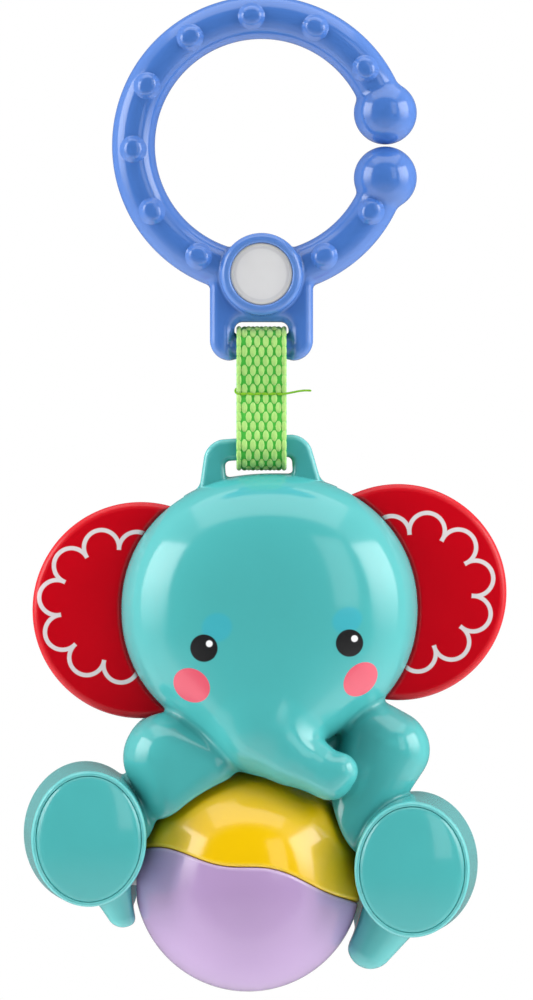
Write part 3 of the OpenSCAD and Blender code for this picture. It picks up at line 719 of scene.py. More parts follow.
def disc_white():
    """A bare satin disc with a cream rim."""
    f = Finish("disc_white", IOR=1.48)
    r = f.far(0, HUB_Z)
    base = f.noise(5).mix(paint(206, 206, 207), paint(216, 216, 217))
    line = r.rise(*DISC_LINE_START) * (1 - r.rise(*DISC_LINE_END))
    base = (line * 0.5).mix(base, paint(190, 190, 192))
    base = r.rise(*DISC_RIM).mix(base, paint(228, 224, 212))
    f.set(Base_Color=base, Roughness=0.32 + 0.08 * f.noise(0.7))
    f.bump(f.noise(0.5), 0.004)
    return f.material


def yarn(name, low, high, rough, size):
    """Matt polyester yarn: fine fibres along the webbing."""
    f = Finish(name, IOR=1.45, Sheen_Weight=0.25, Sheen_Roughness=0.5)
    fibre = f.noise(size, 3, (1, 0.35, 0.35))
    f.set(Base_Color=(fibre * 0.6 + f.noise(3) * 0.4).mix(low, high), Roughness=rough + 0.2 * fibre)
    f.bump(fibre, 0.05)
    return f.material


def steel():
    """Bright drawn steel for the pins and screws."""
    f = Finish("pin_steel", Metallic=1.0)
    marks = f.noise(0.5, 3, (0.1, 0.1, 1))
    f.set(Base_Color=marks.mix(paint(176, 178, 182), paint(205, 206, 208)), Roughness=0.22 + 0.2 * marks)
    f.bump(marks, 0.004)
    return f.material


# Geometry Nodes


def new_tree(name, inputs):
    """A tree with named inputs, and a wire from each of them."""
    tree = bpy.data.node_groups.new(name, "GeometryNodeTree")
    tree.interface.new_socket("Geometry", in_out="INPUT", socket_type="NodeSocketGeometry")
    for label, kind in inputs.items():
        tree.interface.new_socket(label, in_out="INPUT", socket_type="NodeSocket" + kind)
    tree.interface.new_socket("Geometry", in_out="OUTPUT", socket_type="NodeSocketGeometry")
    start = tree.nodes.new("NodeGroupInput")
    return tree, {s.name: Wire(tree, s) for s in start.outputs if s.name}


def close_tree(instances, finish):
    """Real meshes with their finish, as the tree's result."""
    real = instances.node("GeometryNodeRealizeInstances", (), {0: instances})
    done = real.node("GeometryNodeSetMaterial", (), {"Geometry": real, "Material": finish})
    end = done.tree.nodes.new("NodeGroupOutput")
    done.tree.links.new(done.socket, end.inputs[0])


def grown(name, base, tree, values):
    """The plain mesh that a tree makes of a base mesh."""
    holder = bpy.data.objects.new(name, base)
    bpy.context.scene.collection.objects.link(holder)
    modifier = holder.modifiers.new(name, "NODES")
    modifier.node_group = tree
    for item in tree.interface.items_tree:
        if item.name in values:
            modifier[item.identifier] = values[item.name]
    made = bpy.data.meshes.new_from_object(holder.evaluated_get(bpy.context.evaluated_depsgraph_get()))
    holder.modifiers.remove(modifier)
    bpy.data.objects.remove(holder)
    made.name = name
    return made


def bare_mesh(name, points=(), edges=(), faces=()):
    mesh = bpy.data.meshes.new(name)
    mesh.from_pydata((np.asarray(points).reshape(-1, 3) * MM).tolist(), list(edges), list(faces))
    return mesh


def teething_bumps(finish):
    """Round bumps on both faces of the ring, from the hub both ways, each bent to the tube under it."""
    tree, at = new_tree("teething_bumps", {
        "Ring Radius": "Float", "Tube Radius": "Float", "Step": "Float", "Before": "Int", "After": "Int"})
    start, ring_r, tube_r = at["Geometry"], at["Ring Radius"], at["Tube Radius"]
    index = start.node("GeometryNodeInputIndex")
    row = at["Before"] + at["After"]
    back = index > row - 0.5
    k = index - row * back - at["Before"]
    k = k + (k > -0.5)
    turn = k * at["Step"] + 1.5 * math.pi
    across, up = turn.math("COSINE", turn), turn.math("SINE", turn)
    place = start.point(ring_r * across, tube_r * (2 * back - 1), ring_r * up)
    points = start.node("GeometryNodePoints", (), {"Count": row * 2, "Position": place})
    bumps = start.node("GeometryNodeInstanceOnPoints", (), {
        "Points": points, "Instance": start, "Rotation": start.point(back * math.pi, 0, 0)})
    real = start.node("GeometryNodeRealizeInstances", (), {0: bumps})
    x = start.node("ShaderNodeSeparateXYZ", (), {0: start.node("GeometryNodeInputPosition")})
    y, z = x.other(1), x.other(2)
    off = (x * x + z * z) ** 0.5 - ring_r
    fall = tube_r - (tube_r * tube_r - off * off) ** 0.5
    bent = start.point(x, y - y.math("SIGN", y) * fall, z)
    close_tree(start.node("GeometryNodeSetPosition", (), {"Geometry": real, "Position": bent}), finish)
    profile = [[BUMP_R - r, -rise] for r, rise in BUMP_PROFILE]
    points, faces = oval_lathe(profile, (0, 0, 0), BUMP_R, BUMP_R, BUMP_AROUND)
    return grown("ring_bumps", bare_mesh("bump", points, (), faces), tree, {
        "Ring Radius": RING_R * MM, "Tube Radius": TUBE_R * MM, "Step": degrees(BUMP_STEP),
        "Before": BUMPS_BEFORE, "After": BUMPS_AFTER})


def webbing_weave(path, finish):
    """Staggered ovals of yarn along the outside of the webbing, between two rows of selvedge yarn."""
    tree, at = new_tree("webbing_weave", {
        "Rows": "Int", "Pitch": "Float", "Oval": "Vector", "Selvedge": "Float"})
    start = at["Geometry"]
    line = start.node("GeometryNodeMeshToCurve", (), {"Mesh": start})
    index = start.node("GeometryNodeInputIndex")
    row = (index / WEAVE_COLUMNS).math("FLOOR", index / WEAVE_COLUMNS)
    last = WEAVE_COLUMNS // 2
    column = index - row * WEAVE_COLUMNS - last
    odd = row.math("MODULO", row, 2)
    edge = abs(column) > last - 0.5
    spot = start.node("GeometryNodeSampleCurve", {"mode": "FACTOR"},
                      {"Curves": line, "Factor": (row + 0.5) / at["Rows"]}, "Position")
    tangent = spot.other("Tangent")
    out = spot.vector("CROSS_PRODUCT", (1, 0, 0), tangent)
    x = (column + odd * 0.5) * at["Pitch"] * (1 - edge) + column.math("SIGN", column) * at["Selvedge"] * edge
    place = spot.vector("ADD", spot, start.point(x, 0, 0))
    points = start.node("GeometryNodePoints", (), {"Count": at["Rows"] * WEAVE_COLUMNS, "Position": place})
    ball = start.node("GeometryNodeMeshUVSphere", (), {"Segments": 10, "Rings": 6, "Radius": 1.0})
    oval_of_yarn = start.node("GeometryNodeTransform", (), {"Geometry": ball, "Scale": at["Oval"]})
    turn = start.node("FunctionNodeAxesToRotation", {"primary_axis": "Z", "secondary_axis": "Y"},
                      {"Primary Axis": out, "Secondary Axis": tangent})
    keep = 1 - odd * (1 - (abs(column - (last - 1)) > 0.5))
    close_tree(start.node("GeometryNodeInstanceOnPoints", (), {
        "Points": points, "Instance": oval_of_yarn, "Rotation": turn, "Selection": keep,
        "Scale": start.point(1 - edge * SELVEDGE_NARROWED, 1, 1)}), finish)
    n = len(path)
    base = bare_mesh("weave_path", path, [(k, (k + 1) % n) for k in range(n)])
    run = length(path - np.roll(path, -1, 0)).sum()
    return grown("webbing_weave", base, tree, {
        "Rows": 2 * round(run / WEAVE_ROW / 2), "Pitch": WEAVE_PITCH * MM,
        "Oval": [v * MM for v in WEAVE_OVAL], "Selvedge": SELVEDGE * MM})


def seam_stitches(finish):
    """A row of lock stitches across both faces of the webbing."""
    tree, at = new_tree("seam_stitches", {
        "Count": "Int", "Width": "Float", "Face": "Float", "Height": "Float"})
    start = at["Geometry"]
    index = start.node("GeometryNodeInputIndex")
    back = index > at["Count"] - 0.5
    k = index - back * at["Count"]
    x = ((k + 0.5) / at["Count"] - 0.5) * at["Width"]
    points = start.node("GeometryNodePoints", (), {
        "Count": at["Count"] * 2, "Position": start.point(x, at["Face"] * (2 * back - 1), at["Height"])})
    ball = start.node("GeometryNodeMeshUVSphere", (), {"Segments": 12, "Rings": 8, "Radius": 1.0})
    pitch = at["Width"] / at["Count"]
    size = start.point(pitch * STITCH_HALF, THREAD_R * MM, THREAD_R * STITCH_TALL * MM)
    thread = start.node("GeometryNodeTransform", (), {"Geometry": ball, "Scale": size})
    lean = (k.math("MODULO", k, 2) - 0.5) * STITCH_LEAN
    close_tree(start.node("GeometryNodeInstanceOnPoints", (), {
        "Points": points, "Instance": thread, "Rotation": start.point(0, lean, 0)}), finish)
    return grown("seam_stitches", bare_mesh("stitch_start"), tree, {
        "Count": STITCH_COUNT, "Width": (STRAP_W - 2 * STITCH_MARGIN) * MM,
        "Face": (STRAP_T + THREAD_R * STITCH_OUT) * MM, "Height": SEAM_Z * MM})


def cross_screws(finish):
    """Four pan-head screws with cross recesses and threads."""

    def screw(p):
        x, y, z = p.T
        r = np.hypot(x, z)
        head = slab(r - SCREW_HEAD_R, y, 0, SCREW_HEAD_H, SCREW_HEAD_EDGE)
        wave = np.cos(2 * math.pi * y / SCREW_PITCH - np.arctan2(z, x))
        taper = np.clip((y + SCREW_LEN) / SCREW_TIP, SCREW_TIP_SHARE, 1)
        shank = r - (SCREW_R - SCREW_CORE + SCREW_CREST * wave) * taper
        shank = np.maximum(shank, np.maximum(-SCREW_LEN - y, y - SCREW_LAP))
        cross = np.minimum(*[
            np.maximum(np.abs(a) - RECESS_HALF_W, np.abs(b) - RECESS_HALF_LEN) for a, b in ((x, z), (z, x))])
        return cut(np.minimum(head, shank * SCREW_TRUE), np.maximum(cross, RECESS_FLOOR - y), RECESS_EDGE)

    tree, at = new_tree("cross_screws", {name: "Vector" for name in SCREW_NAMES})
    start = at["Geometry"]
    spots = [start.node("GeometryNodePoints", (), {"Count": 1, "Position": at[name]}) for name in SCREW_NAMES]
    points = start.node("GeometryNodeJoinGeometry", (), {0: spots})
    close_tree(start.node("GeometryNodeInstanceOnPoints", (), {"Points": points, "Instance": start}), finish)
    points, faces = skin(screw, SCREW_BOX, SCREW_STEP)
    return grown("cross_screws", bare_mesh("screw", points, (), faces.tolist()), tree, {
        name: [v * MM for v in spot + [0, SCREW_SEAT, 0]] for name, spot in zip(SCREW_NAMES, SCREW_AT)})


# Forms of the clip ring

END_ANGLE = math.asin((END_BALL_R + CLIP_GAP / 2) / RING_R)
RING_END = np.array([RING_R * math.cos(END_ANGLE), 0, RING_R * math.sin(END_ANGLE)])


def ring_form(p):
    x, y, z = p.T
    folded = np.stack([x, y, np.abs(z)], 1)
    whole = np.hypot(np.hypot(x, z) - RING_R, y) - TUBE_R
    at_gap = np.abs(np.arctan2(z, x)) < END_ANGLE
    d = np.where(at_gap, sphere(folded, RING_END, TUBE_R), whole)
    d = join(d, sphere(folded, RING_END, END_BALL_R), END_JOIN)
    middle = (PLATE_BOTTOM + HUB_Z) / 2 + PLATE_CORNER / 2
    tall = (HUB_Z - PLATE_BOTTOM) / 2 + PLATE_CORNER / 2
    outline = box2(x, z - middle, PLATE_HALF_W, tall, PLATE_CORNER)
    plate = slab(outline, y, -PLATE_HALF_T, PLATE_HALF_T, PLATE_EDGE)
    plate = np.maximum(plate, z - HUB_Z)
    lead_in = np.clip(np.abs(y) - LEAD_FROM, 0, LEAD_DEPTH) * LEAD_SLOPE
    slot = box2(x, z - SLOT_TOP + SLOT_HALF_H, SLOT_HALF_W, SLOT_HALF_H, SLOT_CORNER) - lead_in
    plate = cut(plate, slot * LEAD_TRUE, SLOT_EDGE)
    bar = np.maximum(along_x(p, (0, 0, BAR_Z), BAR_R), np.abs(x) - SLOT_HALF_W - BAR_LAP)
    d = join(d, join(plate, bar, BAR_JOIN), PLATE_JOIN)
    hub = slab(along_y(p, (0, 0, HUB_Z), HUB_R), y, -HUB_HALF, HUB_HALF, HUB_EDGE)
    d = join(d, hub, HUB_JOIN)
    seat = np.maximum(along_y(p, (0, 0, HUB_Z), DISC_R + SEAT_FIT), y + HUB_HALF - DISC_SUNK - DISC_T)
    return cut(d, seat, DISC_EDGE)


# Forms of the elephant

TRUNK = [HEAD + q for q in ([-1.3, -9.6, -22.3], [4, -13, -28], [11.9, -14.5, -32.6], [13.7, -15.6, -31.6])]
TRUNK_R = [10.1, 6.3, 4.5, 3.7]
FACE_DOMES = 9
ARMS = [
    [[-15.9, -6, 24.4, 8.9], [-15, -9, 17.1, 6], [-7.4, -9.5, 22.8, 5.4]],
    [[25.4, -4, 28.7, 6.7], [28.7, -5, 25.8, 7.5], [20.7, -7, 10.3, 5.5]],
]


def head_dome(p):
    return dome(p, HEAD, HEAD_RX, HEAD_FRONT, HEAD_RZ, HEAD_SQUARE, DOME_SQUARE)


def face(p):
    """The head's dome, narrowing into the root of the trunk: the closest of the domes between the two."""

    def between(t):
        t = np.broadcast_to(t, len(p))
        r = [(1 - t) * a + t * TRUNK_R[0] for a in (HEAD_RX, HEAD_FRONT, HEAD_RZ)]
        centre = (1 - t)[:, None] * HEAD + t[:, None] * TRUNK[0]
        return dome(p, centre, *r, HEAD_SQUARE * (1 - t) + 2 * t, DOME_SQUARE * (1 - t) + 2 * t)

    steps = np.linspace(0, 1, FACE_DOMES)
    tried = np.stack([between(t) for t in steps])
    best = tried.argmin(0)
    mid = np.clip(best, 1, len(steps) - 2)
    a, b, c = (np.take_along_axis(tried, (mid + k)[None], 0)[0] for k in (-1, 0, 1))
    curve = a - 2 * b + c
    shift = np.where(curve > 1e-6, (a - c) / (2 * np.maximum(curve, 1e-6)), best - mid)
    t = np.clip((mid + shift) * steps[1], 0, 1)
    return np.minimum(tried.min(0), between(t))


def trunk(p):
    d = round_cone(p, TRUNK[0], TRUNK[1], TRUNK_R[0], TRUNK_R[1])
    for k in (1, 2):
        d = join(d, round_cone(p, TRUNK[k], TRUNK[k + 1], TRUNK_R[k], TRUNK_R[k + 1]), CURL_JOIN)
    return d


def arms(p):
    c = np.append(BALL, 0)
    return np.minimum(*[three_lobes(p, [c + q for q in arm]) for arm in ARMS])


def legs(p):
    return np.minimum(*[round_cone(p, HIP[s], HEEL[s], HIP_R, HEEL_R[s]) for s in SIDES])


def arc(q, r, thick, start, end):
    """A round bar bent about the Y axis, from one angle to another, seen from the front."""
    d = np.hypot(np.hypot(q[:, 0], q[:, 2]) - r, q[:, 1]) - thick
    at_ends = [r * np.array([math.cos(degrees(a)), 0, math.sin(degrees(a))]) for a in (start, end)]
    tips = [sphere(q, at, thick) for at in at_ends]
    off = (np.degrees(np.arctan2(q[:, 2], q[:, 0])) - (start + end) / 2 + 180) % 360 - 180
    return np.where(np.abs(off) < (end - start) / 2, d, np.minimum(*tips))


def band(p):
    """Half of a round band about the top of the ball."""
    return arc(p - BALL, BAND_R, BAND_TUBE, 0, 180)


def lips(p):
    """A round lip behind the ball at each leg, which closes the view through the gap."""
    return np.minimum(*[arc(p - BALL - [0, LIP_Y, 0], LIP_R, LIP_TUBE, *ends) for ends in LIP_ARCS])


def foot(p, side):
    """An oval drum that narrows towards its sole, with a rounded front edge."""
    t = np.clip((-DRAFT_FROM - p[:, 1]) / (FOOT_FRONT - DRAFT_SHORT), 0, 1)
    centre = FOOT[side] - t[:, None] * [side * FOOT_SHIFT, 0, 0]
    flat = oval(p, centre, FOOT_RX - FOOT_DRAFT * t, FOOT_RZ - FOOT_DRAFT * t)
    return slab(flat, p[:, 1], -FOOT_FRONT, FOOT_INSIDE, FOOT_EDGE)


def foot_back(p, side):
    """A shallow rounded cap behind a foot."""
    return dome(p, FOOT[side], FOOT_RX, FOOT_BACK, FOOT_RZ, FOOT_BACK_OUTLINE, FOOT_BACK_SQUARE)


def fillets(p):
    """Small webs in the corners where the limbs meet the head and feet."""
    return np.minimum.reduce([sphere(p, np.array(q[:3]), q[3]) for q in CORNERS])


def front_outer(p):
    d = join(face(p), trunk(p), TRUNK_JOIN)
    d = join(d, fillets(p), CORNER_JOIN)
    d = join(d, join(arms(p), band(p), LEG_JOIN), ARM_JOIN)
    d = join(d, legs(p), LEG_JOIN)
    return join(d, np.minimum(foot(p, -1), foot(p, 1)), FOOT_JOIN)


def rear_outer(p):
    q = p * [1, -1 / REAR_SHARE, 1]
    d = join(head_dome(q), join(arms(q), band(q), LEG_JOIN), ARM_JOIN)
    d = join(join(d, legs(q), LEG_JOIN) * REAR_SHARE, fillets(p), CORNER_JOIN)
    d = join(d, np.minimum(foot_back(p, -1), foot_back(p, 1)), FOOT_JOIN)
    return join(d, lips(p), LIP_JOIN)


def head_outline(p, g):
    return dome(p * [1, 0, 1], HEAD, HEAD_RX + g, HEAD_FRONT, HEAD_RZ + g, HEAD_SQUARE, DOME_SQUARE)


def at_pivot(p, angle=0.0):
    return turned_y(p - PIVOT, -HEAD_TILT - angle)


def ear_discs(q, g):
    return np.minimum(*[along_y(q, (s * EAR_REACH, 0, 0), EAR_R + g) for s in SIDES])


def ear_sweep(p):
    """The room that the ears and their bar sweep as they rock."""
    room = np.abs(p[:, 1]) - EAR_T / 2 - CLEAR
    d = np.minimum.reduce([ear_discs(at_pivot(p, a), CLEAR) for a in (-ROCK, 0, ROCK)])
    d = np.maximum(np.maximum(d, room), -head_outline(p, -EAR_TUCK - CLEAR))
    for a in (-ROCK, ROCK):
        q = at_pivot(p, a)
        bar = np.maximum(np.abs(q[:, 0]) - HEAD_RX - EAR_GAP, np.abs(q[:, 2]) - YOKE_H / 2 - CLEAR)
        d = np.minimum(d, np.maximum(bar, np.abs(q[:, 1]) - YOKE_T / 2 - CLEAR))
    hub = np.maximum(along_y(p, PIVOT, YOKE_HUB_R + CLEAR), np.abs(p[:, 1]) - YOKE_HUB_T / 2 - SEAT_FIT)
    return np.minimum(d, hub)


def loop_plate(p, g=0.0):
    q = turned_y(p - [LOOP_X, 0, LOOP_BAR_Z], -HEAD_TILT)
    top, half_top, half_root = (v / 2 - LOOP_CORNER for v in (LOOP_BAR_H, LOOP_W, LOOP_W + LOOP_FLARE))
    flat = trapezium(q[:, 0], q[:, 2], top, LOOP_ROOT, half_top, half_root) - LOOP_CORNER - g
    return slab(flat, q[:, 1], -LOOP_T / 2 - g, LOOP_T / 2 + g, LOOP_EDGE)


def loop_slot(p):
    q = turned_y(p - [LOOP_X, 0, LOOP_BAR_Z], -HEAD_TILT)
    half = (LOOP_SLOT_H + LOOP_SLOT_SUNK) / 2
    return box2(q[:, 0], q[:, 2] + LOOP_BAR_H / 2 + half, LOOP_SLOT_W / 2, half, LOOP_SLOT_CORNER)


def posts(p):
    d = along_y(p, PIVOT, YOKE_HUB_R)
    for c in SCREW_AT:
        d = np.minimum(d, along_y(p, c, BOSS_R))
    block = np.abs(np.abs(p[:, 0] - BALL[0]) - POCKET_R - AXLE_SEAT / 2) - AXLE_SEAT / 2 - AXLE_BLOCK
    return np.minimum(d, np.maximum(along_x(p, BALL, AXLE_R + AXLE_BOSS), block))


def bores(p):
    axle = np.maximum(along_x(p, BALL, AXLE_R + SEAT_FIT), np.abs(p[:, 0] - BALL[0]) - POCKET_R - AXLE_SEAT)
    pin = np.maximum(along_y(p, PIVOT, PIVOT_R + SEAT_FIT), np.abs(p[:, 1]) - PIVOT_LEN / 2 - SEAT_FIT)
    return np.minimum(axle, pin)


def shell(p, outer, side):
    """A hollow half of the elephant, on one side of the joint plane: wall, posts and the ball's pocket."""
    d = outer(p)
    pocket = sphere(p, BALL, POCKET_R)
    hollow = np.maximum(d + WALL, WALL - pocket)
    body = np.maximum(d, -hollow)
    body = np.minimum(body, np.maximum(np.maximum(posts(p), d + WALL / 2), -pocket))
    body = cut(body, pocket, POCKET_EDGE)
    return cut(body, side * p[:, 1], PARTING_EDGE)


def front_form(p):
    d = shell(p, front_outer, -1)
    d = cut(d, ear_sweep(p), EAR_SLOT_EDGE)
    d = cut(d, loop_plate(p, SEAT_FIT), LOOP_SEAT_EDGE)
    for side in SIDES:
        centre = FOOT[side] - [side * FOOT_SHIFT, 0, 0]
        sole = oval(p, centre, *sole_radii(SEAT_FIT))
        d = cut(d, np.maximum(sole, p[:, 1] + FOOT_FRONT - SOLE_T), SOLE_EDGE)
    for c in SCREW_AT:
        d = np.maximum(d, -np.maximum(along_y(p, c, SCREW_R + SEAT_FIT), SCREW_SEAT - SCREW_LEN - p[:, 1]))
    return np.maximum(d, -bores(p))


def rear_form(p):
    d = shell(p, rear_outer, 1)
    d = join(d, cut(loop_plate(p), loop_slot(p), LOOP_SLOT_EDGE), LOOP_JOIN)
    d = cut(d, ear_sweep(p), EAR_SLOT_EDGE)
    for c in SCREW_AT:
        well = np.maximum(along_y(p, c, SCREW_HEAD_R + CLEAR), SCREW_SEAT - p[:, 1])
        d = cut(d, well, SCREW_WELL_EDGE)
        d = np.maximum(d, -along_y(p, c, SCREW_R + SEAT_FIT))
    return np.maximum(d, -bores(p))


def sole_radii(g=0.0):
    return (FOOT_RX - FOOT_DRAFT - SOLE_RIM + g, FOOT_RZ - FOOT_DRAFT - SOLE_RIM + g)


def ears_form(p):
    q = at_pivot(p)
    plates = np.maximum(ear_discs(q, 0.0), -head_outline(p, -EAR_TUCK))
    d = slab(plates, p[:, 1], -EAR_T / 2, EAR_T / 2, EAR_ROUND)
    bar = np.maximum(np.abs(q[:, 0]) - HEAD_RX - EAR_GAP - YOKE_LAP, np.abs(q[:, 2]) - YOKE_H / 2)
    d = np.minimum(d, slab(bar, q[:, 1], -YOKE_T / 2, YOKE_T / 2, YOKE_EDGE))
    hub = np.maximum(along_y(p, PIVOT, YOKE_HUB_R), np.abs(p[:, 1]) - YOKE_HUB_T / 2)
    return np.maximum(np.minimum(d, hub), -along_y(p, PIVOT, PIVOT_R + RUN_FIT))


# Forms of the ball


def ball_half(p, side):
    """A hollow half of the ball on one side of its wavy seam, with a hub for the axle at one end."""
    q = p - BALL
    r, off_axle = length(q), np.hypot(q[:, 1], q[:, 2])
    wall = np.maximum(r - BALL_R, BALL_R - BALL_WALL - r)
    flat = BALL_R - BALL_FLAT
    hub = np.abs(side * q[:, 0] - flat + BALL_HUB_HALF) - BALL_HUB_HALF
    hub = np.maximum(off_axle - AXLE_R - BALL_HUB_WALL, hub)
    d = np.minimum(wall, np.maximum(hub, r - BALL_R))
    t = q[:, 0] / BALL_R
    seam = -SEAM_WAVE * (t - np.sin(2 * math.pi * t) / (2 * math.pi))
    c, s = math.cos(degrees(BALL_TURN)), math.sin(degrees(BALL_TURN))
    above = q[:, 1] * s + q[:, 2] * c - seam
    d = cut(d, side * above - SEAM_GAP, SEAM_EDGE)
    d = np.maximum(d, np.abs(q[:, 0]) - flat)
    return np.maximum(d, AXLE_R + RUN_FIT - off_axle)


# Webbing


def webbing_path(lift):
    """The loop's line in Y and Z, this far off its middle, its outward directions and its run.

    It goes upwards at the front.
    """

    def tip(r, fall):
        return math.asin((r - PINCH) / fall)

    over, under = UPPER_WRAP + STRAP_T / 2, LOWER_WRAP + STRAP_T / 2
    a, b = tip(over, BAR_Z - SEAM_Z), tip(under, SEAM_Z - LOOP_BAR_Z)
    top = np.linspace(math.pi + a, -a, WRAP_STEPS)
    low = np.linspace(b, -math.pi - b, WRAP_STEPS)
    knots = np.concatenate([
        [[-PINCH, SEAM_Z]], np.stack([over * np.cos(top), BAR_Z + over * np.sin(top)], 1),
        [[PINCH, SEAM_Z]], np.stack([under * np.cos(low), LOOP_BAR_Z + under * np.sin(low)], 1)])
    knots = np.concatenate([knots, knots[:1]])
    run = np.concatenate([[0], np.cumsum(length(np.diff(knots, axis=0)))])
    even = np.linspace(0, run[-1], LOOP_STEPS, endpoint=False)
    line = np.stack([np.interp(even, run, knots[:, k]) for k in (0, 1)], 1)
    for _ in range(LOOP_SMOOTHINGS):
        line = (np.roll(line, 1, 0) + 2 * line + np.roll(line, -1, 0)) / 4
    ahead = np.roll(line, -1, 0) - np.roll(line, 1, 0)
    ahead /= length(ahead)[:, None]
    out = np.stack([-ahead[:, 1], ahead[:, 0]], 1)
    return line + lift * out, out, run[-1]


def tape(finish):
    """The webbing's flat tape with rounded selvedges, swept round its loop."""
    line, out, run = webbing_path(0.0)
    half_w, half_t = STRAP_W / 2, TAPE_T / 2
    turn = np.linspace(0, 2 * math.pi, TAPE_AROUND, endpoint=False)
    across = [(half_w * math.copysign(abs(math.cos(t)) ** TAPE_EDGE_CURVE, math.cos(t)),
               half_t * math.copysign(abs(math.sin(t)) ** TAPE_FACE_CURVE, math.sin(t))) for t in turn]
    points = [[u, y + v * oy, z + v * oz] for (y, z), (oy, oz) in zip(line, out) for u, v in across]
    n, m = len(line), len(across)
    faces = [f for k in range(n) for f in ring_strip(k * m, (k + 1) % n * m, m)]
    faces = outward(points, faces)
    return piece("webbing_tape", points, faces, finish, "strap_loop", ["strap"]), run


def thread_ends(finish):
    """The cut thread at both ends of the seam."""
    front = -STRAP_T - THREAD_R
    rise = math.tan(degrees(TAIL_RISE))
    tail, loop = [], []
    for t in np.linspace(0, THREAD_TAIL, TAIL_POINTS):
        up = t * rise * (TAIL_STEADY + TAIL_WAVING * math.sin(t * TAIL_WAVE))
        tail.append([STRAP_W / 2 - STITCH_MARGIN + t, front + TAIL_SWAY * math.sin(t), SEAM_Z + up])
    for t in np.linspace(0, END_LOOP_TURN, END_LOOP_POINTS):
        x = -STRAP_W / 2 + END_LOOP_IN - END_LOOP_RX * math.sin(t)
        loop.append([x, front + END_LOOP_BACK * t, SEAM_Z + END_LOOP_RZ * (1 - math.cos(t))])
    points, faces = tube(tail, THREAD_R * CUT_SHARE)
    more, others = tube(loop, THREAD_R * CUT_SHARE)
    faces = list(faces) + [tuple(k + len(points) for k in f) for f in others]
    return piece("thread_ends", points + more, faces, finish, "strap_loop")


# Camera, light and floor

CAMERA_AT = (0.001, -1.0, -0.0709)
PHOTO_LENS, SENSOR, NEAREST, FARTHEST = 180.0, 36.0, 0.01, 50
FLOOR_Z, FLOOR_R, FLOOR_AROUND, FLOOR_FADE = -0.24, 0.5, 64, (0.5, 0.98)

# Levels of the white room in front of the toy, beside it and behind it: mirrored in gloss, and as soft light
MIRRORED, SOFT_LIGHT = (0.04, 0.6, 0.25), (0.13, 0.7, 0.95)
MIRRORED_BELOW, MIRRORED_SHARE, FILL_BACK = 0.6, 0.5, 0.1

# Directions over which the room turns from the front to beside, to behind and to below
BESIDE, BEHIND, BELOW = (-0.6, -0.4), (0.25, 0.8), (0.1, 0.8)

# Soft lamps, in metres and watts: place, width and height, power, and the share of the height that fades in
LAMPS = {
    "left_softbox": ((-0.63, -0.2, 0.04), (0.48, 0.66), 6.0, 0.7),
    "right_softbox": ((0.63, -0.2, 0.04), (0.48, 0.66), 6.0, 0.7),
    "top_softbox": ((0, -0.05, 0.58), (0.9, 0.7), 3.5, None),
    "front_panel": ((0.5, -0.78, 0.24), (0.31, 0.7), 1.2, None),
}
LIT = (0, 0, -0.09)


def camera_and_view():
    """A long lens in front of the toy, set to the photograph's framing, and plain colours."""
    camera = bpy.data.cameras.new("camera")
    camera.lens, camera.sensor_width = PHOTO_LENS, SENSOR
    camera.clip_start, camera.clip_end = NEAREST, FARTHEST
    seen_by = bpy.data.objects.new("camera", camera)
    seen_by.location, seen_by.rotation_euler = CAMERA_AT, (math.pi / 2, 0, 0)
    bpy.context.scene.collection.objects.link(seen_by)
    bpy.context.scene.camera = seen_by
    bpy.context.scene.view_settings.view_transform = "Standard"


def white_room():
    """A room that the camera sees as white, with levels of its own for gloss and for soft light."""
    world = bpy.data.worlds.new("white_room")
    bpy.context.scene.world = world
    world.use_nodes = True
    ray = Wire(world.node_tree).node("ShaderNodeLightPath", output="Is Camera Ray")
    gloss = ray.math("MAXIMUM", ray.other("Is Glossy Ray"), ray.other("Is Transmission Ray"))
    back = ray.node("ShaderNodeSeparateXYZ", (), {0: ray.node("ShaderNodeTexCoord", output="Generated")}, 1)
    beside, behind = back.rise(*BESIDE), back.rise(*BEHIND)
    mirrored, soft = (a + (b - a) * beside + (c - b) * behind for a, b, c in (MIRRORED, SOFT_LIGHT))
    mirrored = mirrored + MIRRORED_BELOW * (0 - back.other(2)).rise(*BELOW)
    level = ray + (1 - ray) * (gloss * mirrored + (1 - gloss) * soft)
    background = world.node_tree.nodes["Background"]
    background.inputs["Color"].default_value = (1, 1, 1, 1)
    world.node_tree.links.new(level.socket, background.inputs["Strength"])


def softbox(name, place, size, power, fade):
    """A soft lamp in two shares: one that gloss mirrors, and a fill further back that it doesn't.

    The mirrored one may fade in from its lower edge, over this share of its height.
    """
    for label, share, back in ((name, MIRRORED_SHARE, 0), (name + "_fill", 1 - MIRRORED_SHARE, FILL_BACK)):
        lamp = bpy.data.lights.new(label, "AREA")
        lamp.shape, lamp.size, lamp.size_y, lamp.energy = "RECTANGLE", *size, power * share
        if fade and back == 0:
            lamp.use_nodes = True
            across = Wire(lamp.node_tree).node("ShaderNodeNewGeometry", output="Parametric")
            up = across.node("ShaderNodeSeparateXYZ", (), {0: across}, 1)
            strength = lamp.node_tree.nodes["Emission"].inputs["Strength"]
            lamp.node_tree.links.new(up.rise(0, fade).socket, strength)
        box = bpy.data.objects.new(label, lamp)
        box.location = Vector(place) + Vector((0, back, 0))
        box.rotation_euler = (Vector(LIT) - box.location).to_track_quat("-Z", "Y").to_euler()
        box.visible_glossy = back == 0
        bpy.context.scene.collection.objects.link(box)


